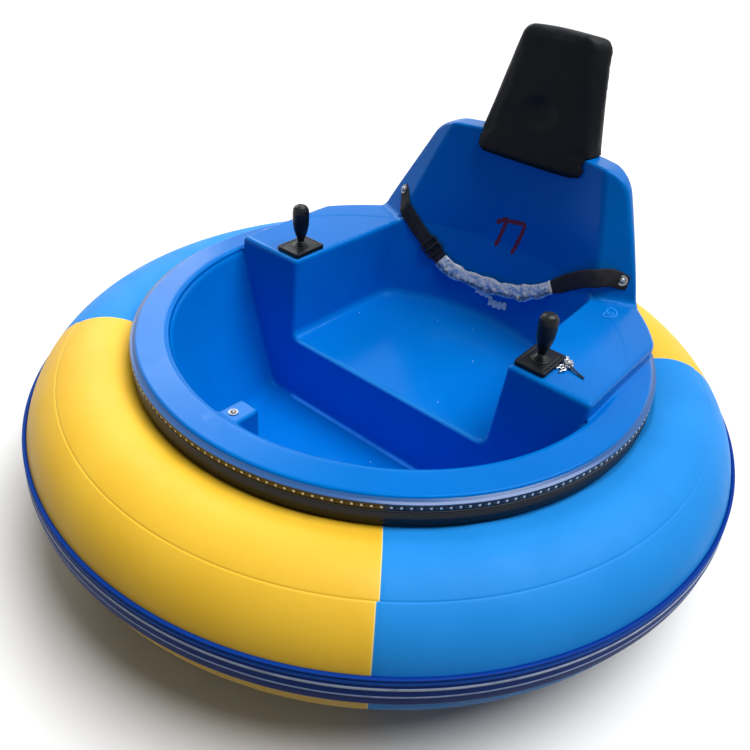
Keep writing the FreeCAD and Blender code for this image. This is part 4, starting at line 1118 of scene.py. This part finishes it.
def pvcMaterial(name, pale, deep, edge, specular):
    # PVC-coated polyester, hot-air welded: a satin skin over a faint cloth weave. The eye gets clean
    # strong colour, a slightly paler cut edge beside each joint and a soft sheen.
    material, tree, shader = newMaterial(name)
    place = addNode(tree, "TexCoord", "Object")
    uv = addNode(tree, "TexCoord", "UV")
    tone = addNode(tree, "TexNoise", Vector=place, Scale=perMetre(190.0), Detail=4.0)
    tone = addNode(tree, "MapRange", Value=tone, From_Min=0.35, From_Max=0.65)
    color = addNode(tree, "Mix", 2, data_type="RGBA", _0=tone, _6=hexColor(pale), _7=hexColor(deep))
    fromJoint = addNode(tree, "SeparateXYZ", "X", Vector=uv)
    cut = addNode(tree, "MapRange", Value=fromJoint, From_Min=0.0022, From_Max=0.0030,
                  To_Min=1.0, To_Max=0.0)
    color = addNode(tree, "Mix", 2, data_type="RGBA", _0=cut, _6=color, _7=hexColor(edge))
    rub = addNode(tree, "TexNoise", Vector=place, Scale=perMetre(70.0), Detail=5.0, Roughness=0.6)
    rub = addNode(tree, "MapRange", Value=rub, From_Min=0.3, From_Max=0.7, To_Min=0.40, To_Max=0.52)
    # the threads are about a millimetre apart; the weave is drawn a little coarser so that it shows
    weave = addNode(tree, "TexVoronoi", "Distance", feature="F1", Vector=place, Scale=perMetre(1.4))
    slack = addNode(tree, "Mapping", Vector=place, Scale=(1.0, 1.0, 0.4))
    slack = addNode(tree, "TexNoise", Vector=slack, Scale=perMetre(38.0), Detail=3.0)
    height = addNode(tree, "Math", operation="MULTIPLY_ADD", _0=weave, _1=0.05, _2=slack)
    folds = addNode(tree, "Bump", Height=height, Distance=0.35 / 1000, Strength=1.0)
    plug(shader, Base_Color=color, Roughness=rub, Specular_IOR_Level=specular, Normal=folds)
    return material


# printed marks on the band: (middle, half width, softness, colour, worn), the first three in degrees
bandMarks = ((11.7, 0.8, 0.7, "#2462CE", False), (7.1, 0.85, 0.35, "#D6E6FF", True),
             (0.5, 0.62, 0.3, "#C4D8FF", True))


def bandPvc():
    # Moulded PVC fender strip: dark blue with two printed pale lines and a brighter raised bead.
    # The eye gets thin bright lines running all the way round.
    material, tree, shader = newMaterial("fenderPvc")
    uv = addNode(tree, "TexCoord", "UV")
    angle = addNode(tree, "SeparateXYZ", "Y", Vector=uv)
    place = addNode(tree, "TexCoord", "Object")
    wearAndPaintedHighlight = addNode(tree, "TexNoise", Vector=place, Scale=perMetre(30.0), Detail=4.0)
    wearAndPaintedHighlight = addNode(tree, "MapRange", Value=wearAndPaintedHighlight, From_Min=0.30, From_Max=0.55, To_Min=0.7, To_Max=1.0)
    # painted shade: the band's blue darkens towards its lower edge
    tone = addNode(tree, "MapRange", Value=angle, From_Min=-8.0, From_Max=15.0)
    color = addNode(tree, "Mix", 2, data_type="RGBA", _0=tone, _6=hexColor("#0A3078"),
                    _7=hexColor("#0A3A94"))
    for middle, half, soft, tint, isWorn in bandMarks:
        off = addNode(tree, "Math", operation="SUBTRACT", _0=angle, _1=middle)
        off = addNode(tree, "Math", operation="ABSOLUTE", _0=off)
        line = addNode(tree, "MapRange", Value=off, From_Min=half, From_Max=half + soft,
                       To_Min=1.0, To_Max=0.0)
        if isWorn:
            line = addNode(tree, "Math", operation="MULTIPLY", _0=line, _1=wearAndPaintedHighlight)
        color = addNode(tree, "Mix", 2, data_type="RGBA", _0=line, _6=color, _7=hexColor(tint))
    plug(shader, Base_Color=color, Roughness=0.42, Specular_IOR_Level=0.05)
    return material


def rubberMaterial(name, color, roughness, streak):
    # Extruded rubber: black, drawn lengthwise through a die. The eye gets long fine lines of gloss.
    material, tree, shader = newMaterial(name)
    uv = addNode(tree, "TexCoord", "UV")
    # real die lines are under a millimetre apart; these are drawn coarser, 420 to the metre
    drawn = addNode(tree, "Mapping", Vector=uv, Scale=(2.0, 420.0, 1.0))
    drawn = addNode(tree, "TexNoise", Vector=drawn, Scale=1.0, Detail=3.0)
    gloss = addNode(tree, "MapRange", Value=drawn, From_Min=0.35, From_Max=0.65, To_Min=roughness,
                    To_Max=roughness + streak)
    lines = addNode(tree, "Bump", Height=drawn, Distance=0.25 / 1000, Strength=1.0)
    plug(shader, Base_Color=hexColor(color), Roughness=gloss, Specular_IOR_Level=0.35, Normal=lines)
    return material


def channelPvc():
    # Extruded black PVC channel, its upper lip tucked under the blue edge. The lip is painted blue as a
    # painted reflection of the rim, pale enough to fill the rim's shadow; below is brown black, both
    # glossy.
    material, tree, shader = newMaterial("channelPvc")
    place = addNode(tree, "TexCoord", "Object")
    # painted reflection: the channel is blue above this height
    paintedLightOnTop = addNode(tree, "SeparateXYZ", "Z", Vector=place)
    paintedLightOnTop = addNode(tree, "MapRange", Value=paintedLightOnTop, From_Min=0.4854, From_Max=0.4860)
    color = addNode(tree, "Mix", 2, data_type="RGBA", _0=paintedLightOnTop, _6=hexColor("#2A2C30"),
                    _7=hexColor("#1C5A9E"))
    plug(shader, Base_Color=color, Roughness=0.22)
    return material


def lampParts():
    # Parts soldered on the strip: lamp bodies, resistors and chips. The eye gets pale squares with
    # copper-brown and black specks between.
    material, tree, shader = newMaterial("lampParts")
    uv = addNode(tree, "TexCoord", "UV")
    kind = addNode(tree, "SeparateXYZ", "X", Vector=uv)
    brown = addNode(tree, "MapRange", Value=kind, From_Min=0.1, From_Max=0.2)
    black = addNode(tree, "MapRange", Value=kind, From_Min=0.7, From_Max=0.8)
    color = addNode(tree, "Mix", 2, data_type="RGBA", _0=brown, _6=hexColor("#F4F8FF"),
                    _7=hexColor("#6A5A44"))
    color = addNode(tree, "Mix", 2, data_type="RGBA", _0=black, _6=color, _7=hexColor("#0B0A08"))
    plug(shader, Base_Color=color, Roughness=0.25)
    return material


def vinylMaterial():
    # Upholstery vinyl, embossed with a fine grain and stretched over foam. The eye gets near black with a
    # soft sheen, and a painted highlight in grey patches along the upper edge.
    material, tree, shader = newMaterial("blackVinyl")
    place = addNode(tree, "TexCoord", "Object")
    # painted highlight: grey patches near the top of the cushion
    paintedLightOnTop = addNode(tree, "SeparateXYZ", "Z", Vector=place)
    paintedLightOnTop = addNode(tree, "MapRange", Value=paintedLightOnTop, From_Min=1.135, From_Max=1.165)
    patch = addNode(tree, "TexNoise", Vector=place, Scale=perMetre(26.0), Detail=4.0)
    patch = addNode(tree, "MapRange", Value=patch, From_Min=0.35, From_Max=0.6)
    wearAndPaintedHighlight = addNode(tree, "Math", operation="MULTIPLY", _0=paintedLightOnTop, _1=patch)
    color = addNode(tree, "Mix", 2, data_type="RGBA", _0=wearAndPaintedHighlight, _6=hexColor("#0B0F16"),
                    _7=hexColor("#24282C"))
    sheen = addNode(tree, "TexNoise", Vector=place, Scale=perMetre(60.0), Detail=4.0)
    sheen = addNode(tree, "MapRange", Value=sheen, From_Min=0.3, From_Max=0.7, To_Min=0.42, To_Max=0.55)
    # the grain is about a millimetre across and is drawn a little coarser so that it shows
    grain = addNode(tree, "TexVoronoi", "Distance", feature="SMOOTH_F1", Vector=place, Scale=perMetre(1.6))
    soft = addNode(tree, "TexNoise", Vector=place, Scale=perMetre(34.0))
    height = addNode(tree, "Math", operation="MULTIPLY_ADD", _0=grain, _1=0.12, _2=soft)
    emboss = addNode(tree, "Bump", Height=height, Distance=0.6 / 1000, Strength=1.0)
    plug(shader, Base_Color=color, Roughness=sheen, Specular_IOR_Level=0.10, Normal=emboss)
    return material


def webbingMaterial():
    # Woven polyester webbing: flat ribs across the belt and cords along it. The eye gets a dull brown
    # black with a fine cross rib.
    material, tree, shader = newMaterial("beltWebbing")
    uv = addNode(tree, "TexCoord", "UV")
    # ribs across at 2.2 mm and cords along at 3.4 mm, as waves on the strap's own length and width
    weave = []
    for axis, pitch in (("X", 0.0022), ("Y", 0.0034)):
        wave = addNode(tree, "SeparateXYZ", axis, Vector=uv)
        wave = addNode(tree, "Math", operation="MULTIPLY", _0=wave, _1=2 * math.pi / pitch)
        weave.append(addNode(tree, "Math", operation="SINE", _0=wave))
    height = addNode(tree, "Math", operation="MULTIPLY", _0=weave[0], _1=weave[1])
    ribs = addNode(tree, "Bump", Height=height, Distance=0.28 / 1000, Strength=1.0)
    place = addNode(tree, "TexCoord", "Object")
    fade = addNode(tree, "TexNoise", Vector=place, Scale=perMetre(24.0), Detail=4.0)
    fade = addNode(tree, "MapRange", Value=fade, From_Min=0.3, From_Max=0.7)
    color = addNode(tree, "Mix", 2, data_type="RGBA", _0=fade, _6=hexColor("#1A1B1F"),
                    _7=hexColor("#302F35"))
    plug(shader, Base_Color=color, Roughness=0.78, Specular_IOR_Level=0.2, Normal=ribs)
    return material


def filmMaterial(name, shade):
    # Polythene wrapping film pulled tight over the buckle. The eye gets it cloudy where layers lie
    # together and dark where the buckle shows through, with small sharp glints on the creases.
    material, tree, shader = newMaterial(name)
    place = addNode(tree, "TexCoord", "Object")
    uv = addNode(tree, "TexCoord", "UV")
    cloud = addNode(tree, "TexNoise", Vector=place, Scale=perMetre(15.0), Detail=6.0, Roughness=0.68)
    middle = addNode(tree, "SeparateXYZ", "Y", Vector=uv)
    middle = addNode(tree, "Math", operation="SUBTRACT", _0=middle, _1=0.165)
    middle = addNode(tree, "Math", operation="ABSOLUTE", _0=middle)
    wander = addNode(tree, "Math", operation="MULTIPLY_ADD", _0=cloud, _1=-0.30, _2=middle)
    lower = addNode(tree, "MapRange", Value=wander, From_Min=-0.13, From_Max=-0.075, To_Min=1.0, To_Max=0.0)
    patch = addNode(tree, "TexNoise", Vector=place, Scale=perMetre(8.0), Detail=3.0)
    patch = addNode(tree, "MapRange", Value=patch, From_Min=0.60, From_Max=0.70)
    dark = addNode(tree, "Math", operation="MAXIMUM", _0=lower, _1=patch)
    dark = addNode(tree, "Math", operation="MULTIPLY", _0=dark, _1=shade)
    color = addNode(tree, "Mix", 2, data_type="RGBA", _0=dark, _6=hexColor("#DDE4EA"),
                    _7=hexColor("#2A3648"))
    white = addNode(tree, "TexNoise", Vector=place, Scale=perMetre(6.0), Detail=5.0, Roughness=0.7)
    white = addNode(tree, "MapRange", Value=white, From_Min=0.52, From_Max=0.64)
    color = addNode(tree, "Mix", 2, data_type="RGBA", _0=white, _6=color, _7=hexColor("#FFFFFF"))
    fine = addNode(tree, "TexNoise", Vector=place, Scale=perMetre(4.0), Detail=4.0, Roughness=0.7)
    creases = addNode(tree, "Bump", Height=fine, Distance=1.4 / 1000, Strength=1.0)
    plug(shader, Base_Color=color, Roughness=0.14, Specular_IOR_Level=0.7, Normal=creases)
    return material


def paintedSteel(name, color, roughness):
    # Powder-coated steel. The eye gets even satin paint, dusty where road dirt settles.
    material, tree, shader = newMaterial(name)
    place = addNode(tree, "TexCoord", "Object")
    cover = addNode(tree, "TexNoise", Vector=place, Scale=perMetre(55.0), Detail=6.0, Roughness=0.6)
    dirt = addNode(tree, "MapRange", Value=cover, From_Min=0.52, From_Max=0.75, To_Min=0.0, To_Max=0.55)
    tone = addNode(tree, "Mix", 2, data_type="RGBA", _0=dirt, _6=hexColor(color), _7=hexColor("#4A443C"))
    satin = addNode(tree, "MapRange", Value=cover, From_Min=0.3, From_Max=0.7, To_Min=roughness - 0.06,
                    To_Max=roughness + 0.12)
    powder = addNode(tree, "TexNoise", Vector=place, Scale=perMetre(2.2))
    powder = addNode(tree, "Bump", Height=powder, Distance=0.08 / 1000, Strength=1.0)
    plug(shader, Base_Color=tone, Roughness=satin, Normal=powder)
    return material


def plated(name, color, roughness, grainMm=0.8):
    # Plated or cast metal. The eye gets it bright, with fine grain that spreads the highlights.
    material, tree, shader = newMaterial(name)
    place = addNode(tree, "TexCoord", "Object")
    cloud = addNode(tree, "TexNoise", Vector=place, Scale=perMetre(18.0), Detail=4.0)
    tone = addNode(tree, "MapRange", Value=cloud, From_Min=0.3, From_Max=0.7)
    tone = addNode(tree, "Mix", 2, data_type="RGBA", _0=tone, _6=hexColor(color), _7=hexColor("#8E9094"))
    gloss = addNode(tree, "MapRange", Value=cloud, From_Min=0.3, From_Max=0.7, To_Min=roughness * 0.8,
                    To_Max=roughness * 1.3)
    grain = addNode(tree, "TexNoise", Vector=place, Scale=perMetre(grainMm))
    grain = addNode(tree, "Bump", Height=grain, Distance=0.03 / 1000, Strength=1.0)
    plug(shader, Base_Color=tone, Metallic=1.0, Roughness=gloss, Normal=grain)
    return material


def plainMaterial(name, color, roughness, grainMm=None, grainDepthMm=0.05, coat=0.0, specular=0.3):
    # Moulded plastic, tyre rubber or brushed paint of one colour. The eye gets an even surface whose
    # sheen is a little cloudy, with grain where its size is given.
    material, tree, shader = newMaterial(name)
    place = addNode(tree, "TexCoord", "Object")
    cloud = addNode(tree, "TexNoise", Vector=place, Scale=perMetre(60.0), Detail=4.0)
    gloss = addNode(tree, "MapRange", Value=cloud, From_Min=0.3, From_Max=0.7, To_Min=roughness - 0.05,
                    To_Max=roughness + 0.05)
    plug(shader, Base_Color=hexColor(color), Roughness=gloss, Specular_IOR_Level=specular, Coat_Weight=coat)
    if grainMm:
        grain = addNode(tree, "TexNoise", Vector=place, Scale=perMetre(grainMm))
        plug(shader, Normal=addNode(tree, "Bump", Height=grain, Distance=grainDepthMm / 1000, Strength=1.0))
    return material


gelcoat = gelcoatMaterial()
yellowPvc = pvcMaterial("yellowPvc", "#FBCB3A", "#F7C432", "#FBE48E", 0.28)
bluePvc = pvcMaterial("bluePvc", "#2896F0", "#2290E8", "#2896F0", 0.09)
fenderPvc = bandPvc()
blackRubber = rubberMaterial("blackRubber", "#12161F", 0.24, 0.22)
channel = channelPvc()
stripBoard = plainMaterial("stripBoard", "#2E3034", 0.3, coat=0.25)
vinyl = vinylMaterial()
blackPlastic = plainMaterial("blackPlastic", "#0F1319", 0.34, grainMm=1.2, specular=0.22)
blackSteel = paintedSteel("blackSteel", "#121212", 0.45)
brightSteel = plated("nickelSteel", "#D8D9DC", 0.16)
boltSteel = plated("boltSteel", "#70757C", 0.3)
zincSteel = plated("zincSteel", "#A9ABAE", 0.34)
webbing = webbingMaterial()
clearFilm = filmMaterial("wrappingFilm", 0.85)
looseFilm = filmMaterial("looseFilm", 0.1)
frameGrey = paintedSteel("frameGrey", "#1C1C1E", 0.5)
motorGrey = paintedSteel("motorGrey", "#55585C", 0.45)
batteryCase = plainMaterial("batteryCase", "#1A1A1D", 0.5, grainMm=1.5)
castAlloy = plated("castAlloy", "#B8B8BB", 0.38, 1.6)
tyreRubber = plainMaterial("tyreRubber", "#121212", 0.72, grainMm=3.0, grainDepthMm=0.3)
casterTread = plainMaterial("casterTread", "#222222", 0.55, grainMm=2.0)
chips = lampParts()
numberPaint = plainMaterial("numberPaint", "#5E1238", 0.6)
scuffPaint = plainMaterial("scuffPaint", "#1E88E4", 0.5)

# each solid or new piece takes the finish whose key its name starts with
finishes = {
    "body_shell": gelcoat, "tubMoulding": gelcoat, "boss_bolt": boltSteel,
    "ring_front": yellowPvc, "tubeFront": yellowPvc, "ring_rear": yellowPvc, "tubeRear": yellowPvc,
    "ring_left": bluePvc, "tubeLeft": bluePvc, "ring_right": bluePvc, "tubeRight": bluePvc,
    "fender_band": fenderPvc, "fenderBand": fenderPvc, "rim_gasket": blackRubber, "rubberRoll": blackRubber,
    "led_channel": channel, "lightChannel": channel, "led_strip": stripBoard, "lightStrip": stripBoard,
    "lightChips": chips, "headrest_pad": vinyl, "headrest_board": vinyl, "headrestCushion": vinyl,
    "joystick_base": blackPlastic, "stickBase": blackPlastic, "joystick_handle": blackPlastic,
    "key_switch": brightSteel, "key_ring": brightSteel, "keyBunch": brightSteel, "keyTail": blackPlastic,
    "belt_strap": webbing, "strap": webbing, "belt_adjuster": blackPlastic, "slider": blackPlastic,
    "belt_buckle": clearFilm, "wrappedBuckle": clearFilm, "filmScrap": looseFilm, "belt_anchor": boltSteel,
    "paintedNumber": numberPaint, "scuffMark": scuffPaint,
    "chassis": frameGrey, "wheel_bracket": blackSteel, "drive_motor": motorGrey, "battery": batteryCase,
    "drive_tyre": tyreRubber, "drive_hub": castAlloy, "drive_axle": zincSteel,
    "caster_plate": zincSteel, "caster_fork": zincSteel, "caster_wheel": casterTread,
}


def paint(piece, material):
    # one material over the whole piece
    piece.data.materials.clear()
    piece.data.materials.append(material)


for piece in list(nodes.values()) + madePieces:
    found = [finishes[key] for key in finishes if piece.name.startswith(key)]
    if found:
        paint(piece, found[0])
    else:
        print("no finish for", piece.name)
print("materials", len(bpy.data.materials))


def seenDirectly(tree):
    # the eye and mirror-like surfaces see the pale backdrop, soft light does not come from it
    path = tree.nodes.new("ShaderNodeLightPath").outputs
    both = addNode(tree, "Math", operation="MAXIMUM", _0=path["Is Camera Ray"], _1=path["Is Glossy Ray"])
    return addNode(tree, "Math", operation="MAXIMUM", _0=both, _1=path["Is Transmission Ray"])


floorPaint = {"half": 30.0, "shade": "#505254", "seen": "#FBFBFB", "roughness": 0.95, "specular": 0.1}
far = floorPaint["half"]
floorMesh = bpy.data.meshes.new("floor")
floorMesh.from_pydata([(-far, -far, 0), (far, -far, 0), (far, far, 0), (-far, far, 0)], [], [(0, 1, 2, 3)])
floor = bpy.data.objects.new("floor", floorMesh)
scene.collection.objects.link(floor)
# Studio floor: matt paint. The eye gets it pale, so that it takes the soft shadow and nothing else.
floorMaterial, tree, shader = newMaterial("studioFloor")
color = addNode(tree, "Mix", 2, data_type="RGBA", _0=seenDirectly(tree), _6=hexColor(floorPaint["shade"]),
                _7=hexColor(floorPaint["seen"]))
plug(shader, Base_Color=color, Roughness=floorPaint["roughness"], Specular_IOR_Level=floorPaint["specular"])
paint(floor, floorMaterial)

# soft light from all round, and the pale backdrop that is seen: colour and strength
surroundings = {"ambient": ("#FFFCF2", 0.13), "backdrop": ("#FFFFFF", 1.0)}
world = bpy.data.worlds.new("studio")
world.use_nodes = True
scene.world = world
tree = world.node_tree
tree.nodes.clear()
ambient, backdrop = (addNode(tree, "Background", Color=hexColor(shade), Strength=strength)
                     for shade, strength in surroundings.values())
surface = addNode(tree, "MixShader", _0=seenDirectly(tree), _1=ambient, _2=backdrop)
plug(tree.nodes.new("ShaderNodeOutputWorld"), Surface=surface)

# wide soft light from high up on the rider's left and a little behind
overhead = {"from": (0.25, 0.28, 0.9), "width": 46.0, "strength": 3.3}
sunData = bpy.data.lights.new("overhead", "SUN")
sunData.energy = overhead["strength"]
sunData.angle = math.radians(overhead["width"])
sun = bpy.data.objects.new("overhead", sunData)
sun.rotation_euler = (-Vector(overhead["from"])).to_track_quat("-Z", "Y").to_euler()
scene.collection.objects.link(sun)

# low broad light on the rider's right for the pale sheen on the rim, and one above it for the edges
softLamps = {
    "sheen": {"place": (-5.3, 1.5, 3.2), "towards": (0, 0, 0.45), "size": (3.2, 2.6), "power": 72.0},
    "edges": {"place": (-3.5, 1.9, 4.0), "towards": (0, 0, 0.45), "size": (2.0, 1.4), "power": 45.0},
}
for lampName, lamp in softLamps.items():
    lampData = bpy.data.lights.new(lampName, "AREA")
    lampData.shape = "RECTANGLE"
    lampData.size, lampData.size_y = lamp["size"]
    lampData.energy = lamp["power"]
    softLamp = bpy.data.objects.new(lampName, lampData)
    softLamp.location = lamp["place"]
    aim = Vector(lamp["towards"]) - softLamp.location
    softLamp.rotation_euler = aim.to_track_quat("-Z", "Y").to_euler()
    scene.collection.objects.link(softLamp)

camera = {
    "place": (1.0488, -1.3849, 1.5531), "azimuth": 36.086, "down": 35.276, "roll": 5.56,
    "sensor": 36.0, "lens": 36.012, "shiftX": -0.0326, "shiftY": -0.0007,
}
camData = bpy.data.cameras.new("camera")
camData.sensor_width = camera["sensor"]
camData.lens = camera["lens"]
camData.shift_x, camData.shift_y = camera["shiftX"], camera["shiftY"]
cam = bpy.data.objects.new("camera", camData)
heading, down = math.radians(camera["azimuth"]), math.radians(camera["down"])
look = Vector((-math.sin(heading) * math.cos(down), math.cos(heading) * math.cos(down), -math.sin(down)))
turn = look.to_track_quat("-Z", "Y").to_matrix() @ Matrix.Rotation(math.radians(camera["roll"]), 3, "Z")
cam.matrix_world = Matrix.Translation(camera["place"]) @ turn.to_4x4()
scene.collection.objects.link(cam)
scene.camera = cam
scene.view_settings.view_transform = "Standard"

print("stage")
